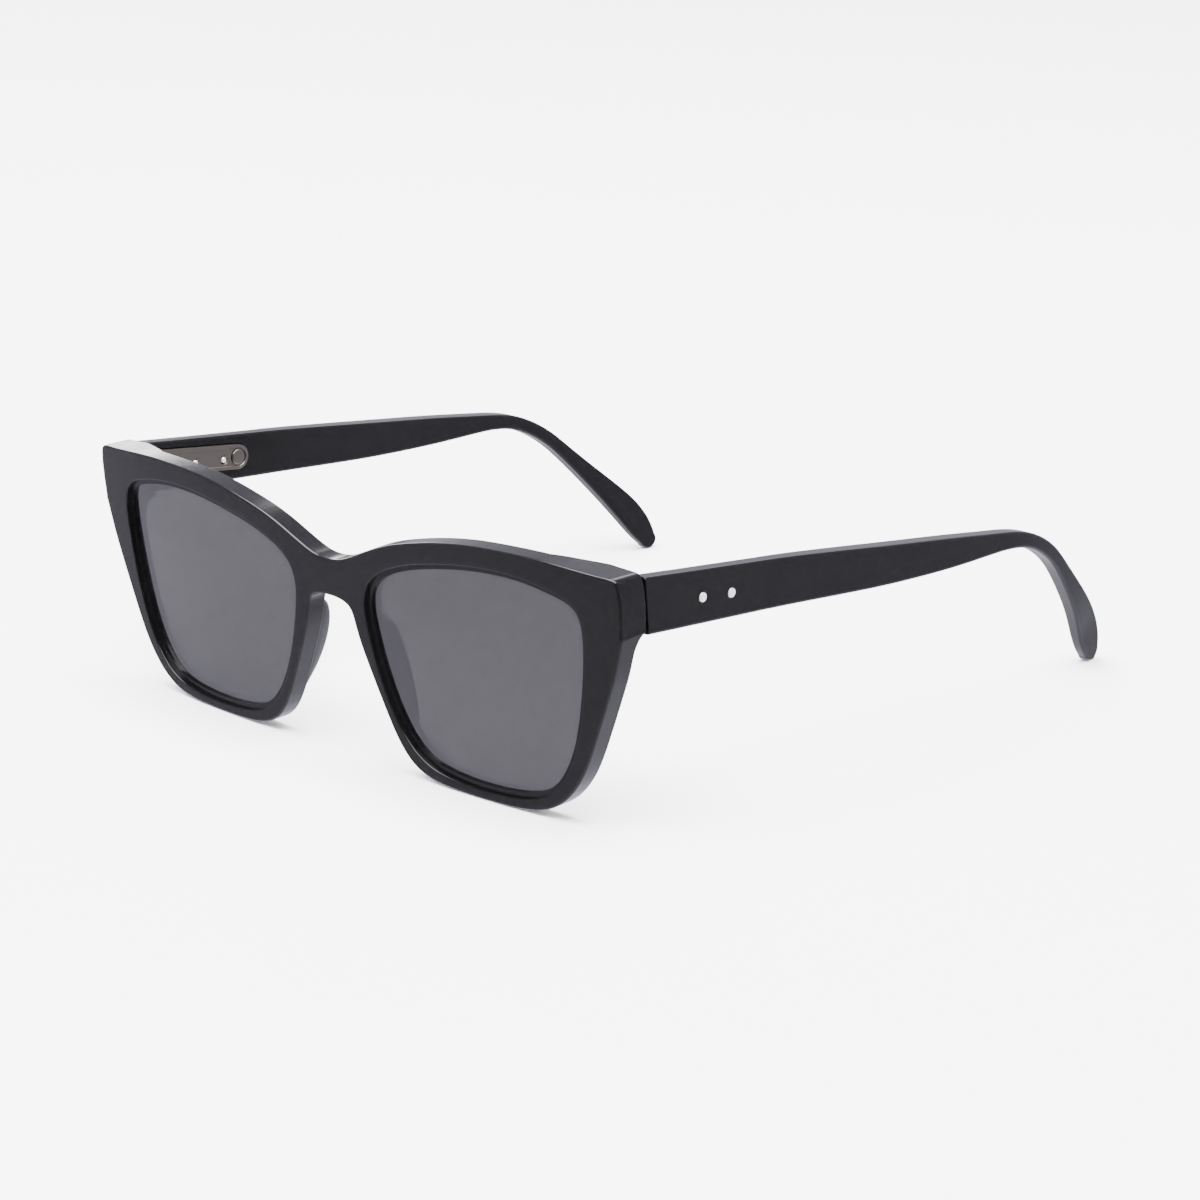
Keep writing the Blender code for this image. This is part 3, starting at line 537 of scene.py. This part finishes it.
def steel_material(settings):
    """Stainless steel, turned and barrel polished.

    Barrel polishing leaves tiny shallow dents, so the small heads flash white with a
    slightly uneven edge to each highlight.
    """
    material, tree, shader = new_material("stainless steel, turned and barrel polished")
    place = node(tree, "ShaderNodeTexCoord").outputs["Object"]
    dents = node(tree, "ShaderNodeTexNoise", Vector=place, Scale=per_mm(0.35), Detail=2.0)
    rough = node(tree, "ShaderNodeMapRange", Value=dents.outputs["Fac"], From_Min=0.3,
                 From_Max=0.7, To_Min=0.10, To_Max=0.18)
    bump = node(tree, "ShaderNodeBump", Height=dents.outputs["Fac"], Strength=0.08,
                Distance=0.01 * MM)
    tree.links.new(rough.outputs["Result"], shader.inputs["Roughness"])
    tree.links.new(bump.outputs["Normal"], shader.inputs["Normal"])
    shader.inputs["Base Color"].default_value = settings.steel
    # The pale floor isn't mirrored, so part of the brightness it would give is diffuse.
    shader.inputs["Metallic"].default_value = 0.6
    return material


def paper_material(settings):
    """Seamless background paper, matt: its fibres scatter light evenly, with no shine."""
    material, tree, shader = new_material("background paper, matt")
    place = node(tree, "ShaderNodeTexCoord").outputs["Object"]
    # Paper fibre is about 0.1 mm; drawn at 0.8 mm.
    fibre = node(tree, "ShaderNodeTexNoise", Vector=place, Scale=per_mm(0.8), Detail=3.0)
    bump = node(tree, "ShaderNodeBump", Height=fibre.outputs["Fac"], Strength=0.05,
                Distance=0.02 * MM)
    tree.links.new(bump.outputs["Normal"], shader.inputs["Normal"])
    shader.inputs["Base Color"].default_value = settings.floor
    shader.inputs["Roughness"].default_value = 0.9
    return material


MAKERS = {
    "acetate": (acetate_material, "sunglasses_acetate"),
    "lens": (lens_material, "sunglasses_lens"),
    "nickel": (nickel_material, "sunglasses_hardware"),
    "steel": (steel_material, "sunglasses_hardware"),
    "paper": (paper_material, "sunglasses_stage"),
}
made_materials = {}


def finish_of(kind):
    """The material of that kind, made once."""
    if kind not in made_materials:
        maker, group = MAKERS[kind]
        made_materials[kind] = maker(getattr(bpy.context.scene, group))
    return made_materials[kind]


# ---------------------------------------------------------------- front

def edge_profile(radius, facets):
    """Round front edge, wall and round back edge, as (inset, depth from front or back)."""
    steps = [pi / 2 * k / facets for k in range(facets + 1)]
    front = [(radius * (1 - sin(a)), radius * (1 - cos(a))) for a in steps]
    back = [(inset, RIM_DEPTH - depth) for inset, depth in reversed(front)]
    return front, back


def endpiece_rise(x, z):
    """How far the endpiece stands behind the rim's back at a place on the front."""
    share = (abs(x) - BEVEL_START) / ENDPIECE_BEVEL
    if share <= 0:
        return 0.0
    cove = min(max((z - (FOOT_Z - COVE)) / COVE, 0.0), 1.0)
    cove = 1 - sqrt(max(1 - cove * cove, 0.0))
    soft = 0.06
    if share < 1 - soft:
        ramp = share
    elif share < 1 + soft:
        t = (share - (1 - soft)) / (2 * soft)
        ramp = 1 - soft + 2 * soft * (t - t * t / 2)
    else:
        ramp = 1.0
    step_span = 0.03
    step = BEVEL_STEP * smooth(share / step_span)
    full = ENDPIECE_DEPTH - RIM_DEPTH - wrap(BEVEL_START) - BEVEL_STEP
    height = step + wrap(BEVEL_START) - wrap(x) + full * ramp
    return max(height, 0.0) * cove


def front_mesh(radius, facets):
    """The front with three rounded outlines, milled lens grooves and bowed faces."""
    bm = bmesh.new()
    half = LENS_THICKNESS / 2 + GROOVE_SLACK
    middle = RIM_DEPTH / 2
    deep = -(LENS_GRIP + GROOVE_SLACK)
    groove = [(0.0, middle - half), (deep, middle - half), (deep, middle + half),
              (0.0, middle + half)]
    starts, ends, counts = [], [], []
    eye = eye_loop()
    for k, loop in enumerate((front_outline(), eye, eye * (-1, 1))):
        front_edge, back_edge = edge_profile(radius * (EYE_EDGE if k else 1), facets)
        profile = front_edge + (groove if k else []) + back_edge
        away = outward(loop) * (1 if k == 0 else -1)
        rings = []
        for inset, y in profile:
            rings.append([bm.verts.new((x, y, z)) for x, z in loop - away * inset])
        for low, high in zip(rings, rings[1:]):
            for i in range(len(low)):
                j = (i + 1) % len(low)
                bm.faces.new((low[i], low[j], high[j], high[i]))
        starts += rings[0]
        ends += rings[-1]
        counts.append(len(loop))
    sheet = bmesh.new()
    flat = [sheet.verts.new(v.co) for v in starts]
    first = 0
    for n in counts:
        for i in range(n):
            sheet.edges.new((flat[first + i], flat[first + (i + 1) % n]))
        first += n
    bmesh.ops.triangle_fill(sheet, edges=sheet.edges[:], use_beauty=True)
    sheet.verts.index_update()
    triangles = [[v.index for v in f.verts] for f in sheet.faces]
    sheet.free()
    for corners in triangles:
        bm.faces.new([starts[i] for i in corners])
        bm.faces.new([ends[i] for i in reversed(corners)])
    bmesh.ops.recalc_face_normals(bm, faces=bm.faces)
    across = np.arange(-STRIP_REACH, STRIP_REACH + STRIP_WIDTH / 3, STRIP_WIDTH)
    cuts = [((x, 0, 0), (1, 0, 0)) for x in across]
    near_foot = [-COVE * share for share in COVE_CUTS]
    cuts += [((0, 0, FOOT_Z + dz), (0, 0, 1)) for dz in near_foot + list(range(1, 12))]
    for place, normal in cuts:
        bmesh.ops.bisect_plane(bm, geom=bm.verts[:] + bm.edges[:] + bm.faces[:],
                               plane_co=place, plane_no=normal, dist=0.01)
    for v in bm.verts:
        x, y, z = v.co
        rise = endpiece_rise(x, z)
        share = min(max((y - RISE_START * RIM_DEPTH) / (RISE_SPAN * RIM_DEPTH), 0.0), 1.0)
        drop = ENDPIECE_DROP * rise / (ENDPIECE_DEPTH - RIM_DEPTH) * share
        drop *= smooth((z - SLOPE_FROM) / SLOPE_SPAN)
        v.co = (x, y + wrap(x) + rise * share, z - drop)
    # The edge along the endpiece's foot stays crisp.
    for e in bm.edges:
        if all(abs(v.co.x) > FRONT_HALF - 1 and abs(v.co.z - FOOT_Z) < 0.04 for v in e.verts):
            e.smooth = False
    return bm


class SUNGLASSES_OT_front(bpy.types.Operator):
    """Build the acetate front with its polished edges and lens grooves"""
    bl_idname = "sunglasses.front"
    bl_label = "Acetate front"

    def execute(self, context):
        settings = context.scene.sunglasses_acetate
        bm = front_mesh(settings.edge / MM, settings.facets)
        made = plain_object("acetate_front", bm, front_world())
        finish_piece(made, finish_of("acetate"), FRONT_BODY, ("front",))
        return {"FINISHED"}


class SUNGLASSES_OT_lenses(bpy.types.Operator):
    """Build both tinted lenses, crowned and seated in their grooves"""
    bl_idname = "sunglasses.lenses"
    bl_label = "Tinted lenses"

    def execute(self, context):
        crown = context.scene.sunglasses_lens.crown / MM
        loop = eye_loop()
        edge = loop + outward(loop) * LENS_GRIP
        middle = edge.mean(0)
        shares = [0.04, 0.12, 0.22, 0.33, 0.45, 0.57, 0.69, 0.8, 0.9, 0.97, 1.0]
        for word, side in SIDES:
            rings = []
            for face in (-1, 1):
                for share in (shares if face < 0 else shares[::-1]):
                    y = LENS_DEPTH + face * LENS_THICKNESS / 2 - crown * (1 - share ** 2)
                    rings.append([(side * x, wrap(x) + y, z)
                                  for x, z in middle + (edge - middle) * share])
            made = plain_object("tinted_lens_" + word, loft(rings), front_world())
            finish_piece(made, finish_of("lens"), FRONT_BODY,
                         ("lens_" + word,))
        return {"FINISHED"}


def nose_side(loop, low, high):
    """The stretch of a loop that faces the nose, as height and distance, rising."""
    part = [(z, x) for x, z in loop if 0 < x < EYE_INSIDE + EYE_WIDTH * 0.3 and low < z < high]
    return np.array(sorted(part)).T


class SUNGLASSES_OT_nose_pads(bpy.types.Operator):
    """Build both nose pads, filed to a ridge behind the rims"""
    bl_idname = "sunglasses.nose_pads"
    bl_label = "Nose pads"

    def execute(self, context):
        under = EYE_TOP - BRIDGE_TOP - BRIDGE_HEIGHT
        outline_z, outline_x = nose_side(front_outline(), 2.0, under - 1.0)
        eye_z, eye_x = nose_side(eye_loop(), 4.0, EYE_TOP - BRIDGE_TOP)
        for word, side in SIDES:
            rings = []
            for s in np.linspace(0.004, 0.996, 48):
                z = PAD_TOP - PAD_LENGTH * s
                nose = np.interp(z, outline_z, outline_x) + 0.2
                lens = np.interp(z, eye_z, eye_x) - 0.25
                rise = PAD_HEIGHT * sqrt(sin(pi * s ** 0.7))
                foot = wrap(nose) + RIM_DEPTH - 0.25
                foot_lens = wrap(lens) + RIM_DEPTH - 0.25
                wide = lens - nose
                section = [(nose, foot), (nose + 0.03 * wide, foot + 0.18 * rise),
                           (nose + 0.14 * wide, foot + 0.46 * rise),
                           (nose + 0.38 * wide, foot + 0.84 * rise),
                           (nose + 0.68 * wide, foot + 1.06 * rise),
                           (nose + 0.90 * wide, foot + 1.02 * rise),
                           (nose + 0.985 * wide, foot_lens + 0.72 * rise),
                           (lens, foot_lens + 0.3 * rise), (lens, foot_lens)]
                curve = spline(section, 4)
                rings.append([(side * x, y, z) for x, y in curve])
            made = plain_object("nose_pad_build_up_" + word, loft(rings), front_world())
            finish_piece(made, finish_of("acetate"), FRONT_BODY,
                         ("nose_pad_" + word,), angle=50.0)
        return {"FINISHED"}


# ---------------------------------------------------------------- temples

def butt_y(z):
    """The temple's butt end: parallel to the endpiece's back face."""
    return (SEAM_GAP - PIN_BACK - z * sin(TEMPLE_SLOPE)) / cos(TEMPLE_SLOPE)


def temple_stations(steps=9):
    """Rows of place, middle's height, section height, bow and thickness, smoothed."""
    rows = [(share * TEMPLE_REACH, *rest) for share, *rest in ARM_SECTIONS]
    rows += [(TEMPLE_REACH + past, *rest) for past, *rest in EAR_SECTIONS]
    share = TEMPLE_STRAIGHT / rows[0][0]
    first = (TEMPLE_STRAIGHT, BUTT_MIDDLE + (rows[0][1] - BUTT_MIDDLE) * share,
             BUTT_HEIGHT + (rows[0][2] - BUTT_HEIGHT) * share, 0.0, BUTT_THICKNESS)
    return spline([first] + rows, steps)


def section_ring(middle, up, bow, height, thickness, radius, facets, shrink=0.0):
    """A rounded rectangle: its outer face at the bow, its height along an up direction."""
    height, thickness = height - 2 * shrink, thickness - 2 * shrink
    outside = PIN_INSET + bow - shrink
    radius = min(radius, 0.42 * height, 0.42 * thickness)
    corners = ((outside, 1), (outside - thickness, 1), (outside - thickness, -1), (outside, -1))
    ring = []
    for k, (x, top) in enumerate(corners):
        inward = -1 if x == outside else 1
        for angle in np.linspace(0, pi / 2, facets + 1):
            a = angle if k % 2 == 0 else pi / 2 - angle
            across = x + inward * radius * (1 - cos(a))
            along = top * (height / 2 - radius * (1 - sin(a)))
            ring.append((across, middle[0] + up[0] * along, middle[1] + up[1] * along))
    return ring


def temple_rings(radius, facets):
    """Cross-sections from the butt end to the rounded ear tip."""
    rows = temple_stations()
    rings = []
    for shrink, back in ((0.16, 0.0), (0.05, 0.05), (0.0, 0.16)):
        butt = section_ring((0, BUTT_MIDDLE), (0, 1), 0.0, BUTT_HEIGHT, BUTT_THICKNESS,
                            radius, facets, shrink)
        rings.append([(x, butt_y(z) + back, z) for x, _, z in butt])
    for share in (0.25, 0.5, 0.75):
        y = TEMPLE_STRAIGHT * share
        height = BUTT_HEIGHT + (rows[0][2] - BUTT_HEIGHT) * share
        middle = BUTT_MIDDLE + (rows[0][1] - BUTT_MIDDLE) * share
        rings.append(section_ring((y, middle), (0, 1), 0.0, height, BUTT_THICKNESS,
                                  radius, facets))
    along = np.gradient(rows[:, :2], axis=0)
    along[0] = (1, 0)
    along /= np.linalg.norm(along, axis=1)[:, None]
    for row, (dy, dz) in zip(rows, along):
        rings.append(section_ring(row[:2], (-dz, dy), row[3], row[2], row[4], radius, facets))
    end, (dy, dz) = rows[-1], along[-1]
    half = end[2] / 2
    lean_in = (rows[-1][3] - rows[-2][3]) / np.linalg.norm(rows[-1][:2] - rows[-2][:2])
    for angle in np.radians((10, 20, 30, 40, 50, 60, 69, 77, 84, 88)):
        past = half * sin(angle)
        middle = end[:2] + np.array((dy, dz)) * past
        rings.append(section_ring(middle, (-dz, dy), end[3] + lean_in * past,
                                  end[2] * cos(angle), end[4] * cos(angle) ** 0.3,
                                  radius, facets))
    return rings


def housing_outline(grow, start, steps=28):
    """Square at the hinge and round at its end, as (y, z) points."""
    half = HOUSING_WIDTH / 2 + grow
    middle = HOUSING_LENGTH - HOUSING_WIDTH / 2
    turn = np.linspace(-pi / 2, pi / 2, steps)
    return ([(start, -half)] + [(middle + half * cos(a), half * sin(a)) for a in turn]
            + [(start, half)])


def rivet_places():
    return (("front", (0, RIVET_FIRST, -RIVET_DROP[0])),
            ("rear", (0, RIVET_FIRST + RIVET_SPACING, -RIVET_DROP[1])))


class SUNGLASSES_OT_temples(bpy.types.Operator):
    """Build both acetate temples with their rivet recesses and hinge pockets"""
    bl_idname = "sunglasses.temples"
    bl_label = "Temples"

    def execute(self, context):
        settings = context.scene.sunglasses_acetate
        radius = settings.edge / MM * 1.5
        face = PIN_INSET
        for word, _ in SIDES:
            world = hinge_world(word)
            made = plain_object("acetate_temple_" + word,
                                loft(temple_rings(radius, settings.facets)), world)
            pocket = [[(x, y, z) for y, z in housing_outline(POCKET_GAP, -4.0)]
                      for x in (HOUSING_INSIDE - 1, INNER_FACE + 1.2)]
            cutters = [plain_object("pocket", loft(pocket), world)]
            profile = [(0, face - 0.4), (RIVET_RECESS - 0.1, face - 0.4),
                       (RIVET_RECESS, face - 0.3), (RIVET_RECESS, face - 0.07),
                       (RIVET_RECESS + 0.2, face + 0.13), (RIVET_RECESS + 0.2, face + 1.0),
                       (0, face + 1.0)]
            for _, place in rivet_places():
                cutters.append(plain_object("recess", turned(profile, 0, place), world))
            cut(made, cutters)
            finish_piece(made, finish_of("acetate"), "arm " + word,
                         ("temple_" + word,))
        return {"FINISHED"}


# ---------------------------------------------------------------- hinge hardware

def housing_bm():
    """The housing: a long plate with a sunk face inside a raised rim."""
    lip, edge = HOUSING_LIP, 0.12
    levels = [(0.0, HOUSING_OUTSIDE), (0.0, HOUSING_INSIDE + edge),
              (-edge * 0.3, HOUSING_INSIDE + edge * 0.3), (-edge, HOUSING_INSIDE),
              (-lip, HOUSING_INSIDE),
              (-lip - 0.06, HOUSING_INSIDE + 0.05), (-lip - 0.14, HOUSING_INSIDE + HOUSING_SINK)]
    rings = []
    for grow, x in levels:
        rings.append([(x, y, z) for y, z in housing_outline(grow, HOUSING_START - grow * 0.2)])
    return loft(rings)


def cap_bm():
    """The round cap: a low domed disc with a bevelled rim."""
    top, deep = HOUSING_INSIDE - CAP_PROUD, HOUSING_INSIDE + CAP_DEPTH
    r = CAP_RADIUS - CAP_GROOVE
    profile = [(0, top), (0.35 * r, top + 0.01), (0.65 * r, top + 0.03), (0.86 * r, top + 0.06),
               (0.94 * r, top + 0.1), (r, top + 0.2), (r, HOUSING_INSIDE + 0.45),
               (CAP_RADIUS, HOUSING_INSIDE + 0.45), (CAP_RADIUS, deep), (0, deep)]
    return turned(profile, 0, (0, HOUSING_LENGTH - HOUSING_WIDTH / 2, 0), 64)


class SUNGLASSES_OT_housings(bpy.types.Operator):
    """Build both spring housings with their round caps"""
    bl_idname = "sunglasses.housings"
    bl_label = "Spring housings and caps"

    def execute(self, context):
        wide, narrow = 0.95, 0.76       # radii of a rivet's countersink and hole
        for word, _ in SIDES:
            world = hinge_world(word)
            body = "arm " + word
            made = plain_object("spring_housing_" + word, housing_bm(), world)
            seat = [(0, HOUSING_INSIDE - 1), (CAP_RADIUS, HOUSING_INSIDE - 1),
                    (CAP_RADIUS, HOUSING_INSIDE + CAP_DEPTH + 0.02),
                    (0, HOUSING_INSIDE + CAP_DEPTH + 0.02)]
            end = (0, HOUSING_LENGTH - HOUSING_WIDTH / 2, 0)
            cutters = [plain_object("cap seat", turned(seat, 0, end, 64), world)]
            cone = [(0, HOUSING_INSIDE - 1), (wide, HOUSING_INSIDE - 1),
                    (wide, HOUSING_INSIDE + HOUSING_SINK - 0.02),
                    (narrow, HOUSING_INSIDE + HOUSING_SINK + 0.3),
                    (narrow, HOUSING_OUTSIDE - 0.4), (0, HOUSING_OUTSIDE - 0.4)]
            for _, place in rivet_places():
                cutters.append(plain_object("rivet seat", turned(cone, 0, place), world))
            cut(made, cutters)
            finish_piece(made, finish_of("nickel"), body,
                         ("hinge_housing_" + word,))
            cap = plain_object("housing_cap_disc_" + word, cap_bm(), world)
            finish_piece(cap, finish_of("nickel"), body,
                         ("housing_cap_" + word,))
        return {"FINISHED"}


class SUNGLASSES_OT_rivets(bpy.types.Operator):
    """Build the four rivets, domed outside and upset inside"""
    bl_idname = "sunglasses.rivets"
    bl_label = "Rivets"

    def execute(self, context):
        head = PIN_INSET + 0.1
        inner = HOUSING_INSIDE - 0.02
        r = RIVET_HEAD_RADIUS
        for word, _ in SIDES:
            for place_word, place in rivet_places():
                profile = [(0, inner), (0.2, inner + 0.02), (0.38, inner + 0.08),
                           (0.52, inner + 0.18), (RIVET_RADIUS, inner + 0.32),
                           (RIVET_RADIUS, head - 0.4), (r, head - 0.4), (r, head - 0.2),
                           (r * 0.96, head - 0.12), (r * 0.86, head - 0.05),
                           (r * 0.68, head + 0.01), (r * 0.46, head + 0.055),
                           (r * 0.22, head + 0.08), (0, head + 0.09)]
                name = "rivet_%s_head_%s" % (place_word, word)
                made = plain_object(name, turned(profile, 0, place), hinge_world(word))
                finish_piece(made, finish_of("steel"), "arm " + word,
                             ("rivet_%s_%s" % (place_word, word),))
        return {"FINISHED"}


class SUNGLASSES_OT_screws(bpy.types.Operator):
    """Build both hinge screws with slotted heads"""
    bl_idname = "sunglasses.screws"
    bl_label = "Hinge screws"

    def execute(self, context):
        slots = context.scene.sunglasses_hardware.screw_slots
        low, high = -BARREL_HEIGHT / 2 + 0.2, BARREL_HEIGHT / 2 + 0.15
        r, h = SCREW_HEAD_RADIUS, SCREW_HEAD_HEIGHT
        profile = [(0, low), (SCREW_RADIUS - 0.08, low), (SCREW_RADIUS, low + 0.08),
                   (SCREW_RADIUS, high), (r, high), (r, high + 0.5 * h),
                   (r * 0.95, high + 0.68 * h), (r * 0.82, high + 0.84 * h),
                   (r * 0.55, high + 0.96 * h), (0, high + h)]
        for word, _ in SIDES:
            world = hinge_world(word)
            made = plain_object("slotted_screw_" + word, turned(profile, 2, (0, 0, 0)), world)
            if slots:
                cut(made, [plain_object("slot", box((-2, -0.14, high + 0.25), (2, 0.14, high + 1)),
                                        world)])
            finish_piece(made, finish_of("steel"), FRONT_BODY,
                         ("hinge_screw_" + word,))
        return {"FINISHED"}


KEPT_NODES = (
    ("front_hinge_leaf_", "nickel"), ("hinge_slider_", "nickel"), ("flex_spring_", "steel"),
    ("spring_stop_", "steel"), ("core_wire_", "steel"))


class SUNGLASSES_OT_kept_hardware(bpy.types.Operator):
    """Give the hinge leaves, sliders, springs, stops and core wires their metals"""
    bl_idname = "sunglasses.kept_hardware"
    bl_label = "Leaves, sliders, springs and core wires"

    def execute(self, context):
        for stem, kind in KEPT_NODES:
            for word, _ in SIDES:
                made = frame["nodes"][stem + word]
                made.data.materials.clear()
                made.data.materials.append(finish_of(kind))
        return {"FINISHED"}


# ---------------------------------------------------------------- stage

def softbox(name, place, aim, size, power):
    """A flat studio light that faces a point; sizes and places in metres, power in watts."""
    light = bpy.data.lights.new(name, "AREA")
    light.shape = "RECTANGLE"
    light.size, light.size_y = size
    light.energy = power
    made = bpy.data.objects.new(name, light)
    bpy.context.scene.collection.objects.link(made)
    made.location = place
    away = Vector(place) - Vector(aim)
    made.rotation_euler = away.to_track_quat("Z", "Y").to_euler()
    made.visible_camera = False


CAMERA_AIM = Vector((0.0, -0.0035, 0.0155))
CAMERA_ROLL = radians(-1.092)
# name, place in metres, size in metres, power in watts
LIGHTS = (
    ("overhead softbox", (0.1, -0.35, 2.0), (2.8, 2.3), 430.0),
    ("left strip", (-1.75, 0.57, 0.46), (1.1, 0.42), 12.0),
    ("back softbox", (-0.88, 1.52, 1.32), (1.0, 0.6), 8.0))
LIGHT_AIM = (0, 0, 0.02)
ROOM_COLOUR = "#f1eeff"
DARK_SIDE = (0.7, -0.7, 0.1)        # the unlit side of the studio
FLOOR_RADIUS, WALL_HEIGHT, FLOOR_BEND = 2.6, 3.2, 0.9   # metres


def sweep(radius, height, bend):
    """A round floor that curves up into a wall, in metres."""
    profile = [(radius * k / 6, 0.0) for k in range(7)]
    bends = np.radians(range(10, 91, 10))
    profile += [(radius + bend * sin(a), bend * (1 - cos(a))) for a in bends]
    profile.append((radius + bend, height))
    return turned(profile, 2, (0, 0, 0), 96, closed=False)


def studio_world(light):
    """Even room light with one dark side, and lighter from below as off a pale floor."""
    world = bpy.data.worlds.new("studio")
    world.use_nodes = True
    tree = world.node_tree
    toward = node(tree, "ShaderNodeTexCoord").outputs["Generated"]
    dark = node(tree, "ShaderNodeVectorMath", {"operation": "DOT_PRODUCT"}, _0=toward,
                _1=DARK_SIDE)
    room = node(tree, "ShaderNodeMapRange", {"interpolation_type": "SMOOTHSTEP"},
                Value=dark.outputs["Value"], From_Min=0.3, From_Max=0.95,
                To_Min=0.95 * light, To_Max=0.06 * light)
    under = node(tree, "ShaderNodeVectorMath", {"operation": "DOT_PRODUCT"}, _0=toward,
                 _1=(0.0, 0.0, -1.0))
    bounce = node(tree, "ShaderNodeMapRange", {"interpolation_type": "SMOOTHSTEP"},
                  Value=under.outputs["Value"], From_Min=0.35, From_Max=0.8,
                  To_Min=0.0, To_Max=1.6 * light)
    total = node(tree, "ShaderNodeMath", {"operation": "ADD"}, _0=room.outputs["Result"],
                 _1=bounce.outputs["Result"])
    sky = tree.nodes["Background"]
    tree.links.new(total.outputs["Value"], sky.inputs["Strength"])
    sky.inputs["Color"].default_value = linear(ROOM_COLOUR)
    return world


class SUNGLASSES_OT_stage(bpy.types.Operator):
    """Build the floor, the studio light and the camera"""
    bl_idname = "sunglasses.stage"
    bl_label = "Stage, lights and camera"

    def execute(self, context):
        settings = context.scene.sunglasses_stage
        floor = plain_object("floor", sweep(FLOOR_RADIUS, WALL_HEIGHT, FLOOR_BEND),
                             Matrix.Identity(4))
        floor.data.materials.append(finish_of("paper"))
        floor.data.shade_smooth()
        # The floor lights the object but isn't mirrored in it, as if it were flagged off.
        floor.visible_glossy = False
        for name, place, size, power in LIGHTS:
            softbox(name, place, LIGHT_AIM, size, power * settings.light)
        context.scene.world = studio_world(settings.light)
        data = bpy.data.cameras.new("camera")
        data.lens = settings.lens
        data.sensor_width = 36.0
        data.clip_start = 0.01
        camera = bpy.data.objects.new("camera", data)
        context.scene.collection.objects.link(camera)
        a, e = settings.azimuth, settings.elevation
        back = Vector((sin(a) * cos(e), -cos(a) * cos(e), sin(e)))
        level = Vector((cos(a), sin(a), 0.0))
        up = back.cross(level)
        right = level * cos(CAMERA_ROLL) + up * sin(CAMERA_ROLL)
        up = back.cross(right)
        camera.matrix_world = (Matrix.Translation(CAMERA_AIM + back * settings.distance)
                               @ Matrix((right, up, back)).transposed().to_4x4())
        context.scene.camera = camera
        return {"FINISHED"}


# ---------------------------------------------------------------- panel and run

class SUNGLASSES_PT_panel(bpy.types.Panel):
    bl_idname = "SUNGLASSES_PT_panel"
    bl_label = "Sunglasses"
    bl_space_type = "VIEW_3D"
    bl_region_type = "UI"
    bl_category = "Sunglasses"

    def draw(self, context):
        for operator in OPERATORS:
            self.layout.operator(operator.bl_idname)


OPERATORS = (
    SUNGLASSES_OT_front, SUNGLASSES_OT_lenses, SUNGLASSES_OT_nose_pads,
    SUNGLASSES_OT_temples, SUNGLASSES_OT_housings, SUNGLASSES_OT_rivets,
    SUNGLASSES_OT_screws, SUNGLASSES_OT_kept_hardware, SUNGLASSES_OT_stage)
GROUPS = (
    ("sunglasses_acetate", AcetateSettings), ("sunglasses_lens", LensSettings),
    ("sunglasses_hardware", HardwareSettings), ("sunglasses_stage", StageSettings))


def register():
    for name, group in GROUPS:
        bpy.utils.register_class(group)
        setattr(bpy.types.Scene, name, PointerProperty(type=group))
    for operator in OPERATORS + (SUNGLASSES_PT_panel,):
        bpy.utils.register_class(operator)


def unregister():
    for operator in reversed(OPERATORS + (SUNGLASSES_PT_panel,)):
        bpy.utils.unregister_class(operator)
    for name, group in reversed(GROUPS):
        delattr(bpy.types.Scene, name)
        bpy.utils.unregister_class(group)


def main():
    register()
    for operator in OPERATORS:
        group, name = operator.bl_idname.split(".")
        getattr(getattr(bpy.ops, group), name)()


if __name__ == "__main__":
    main()
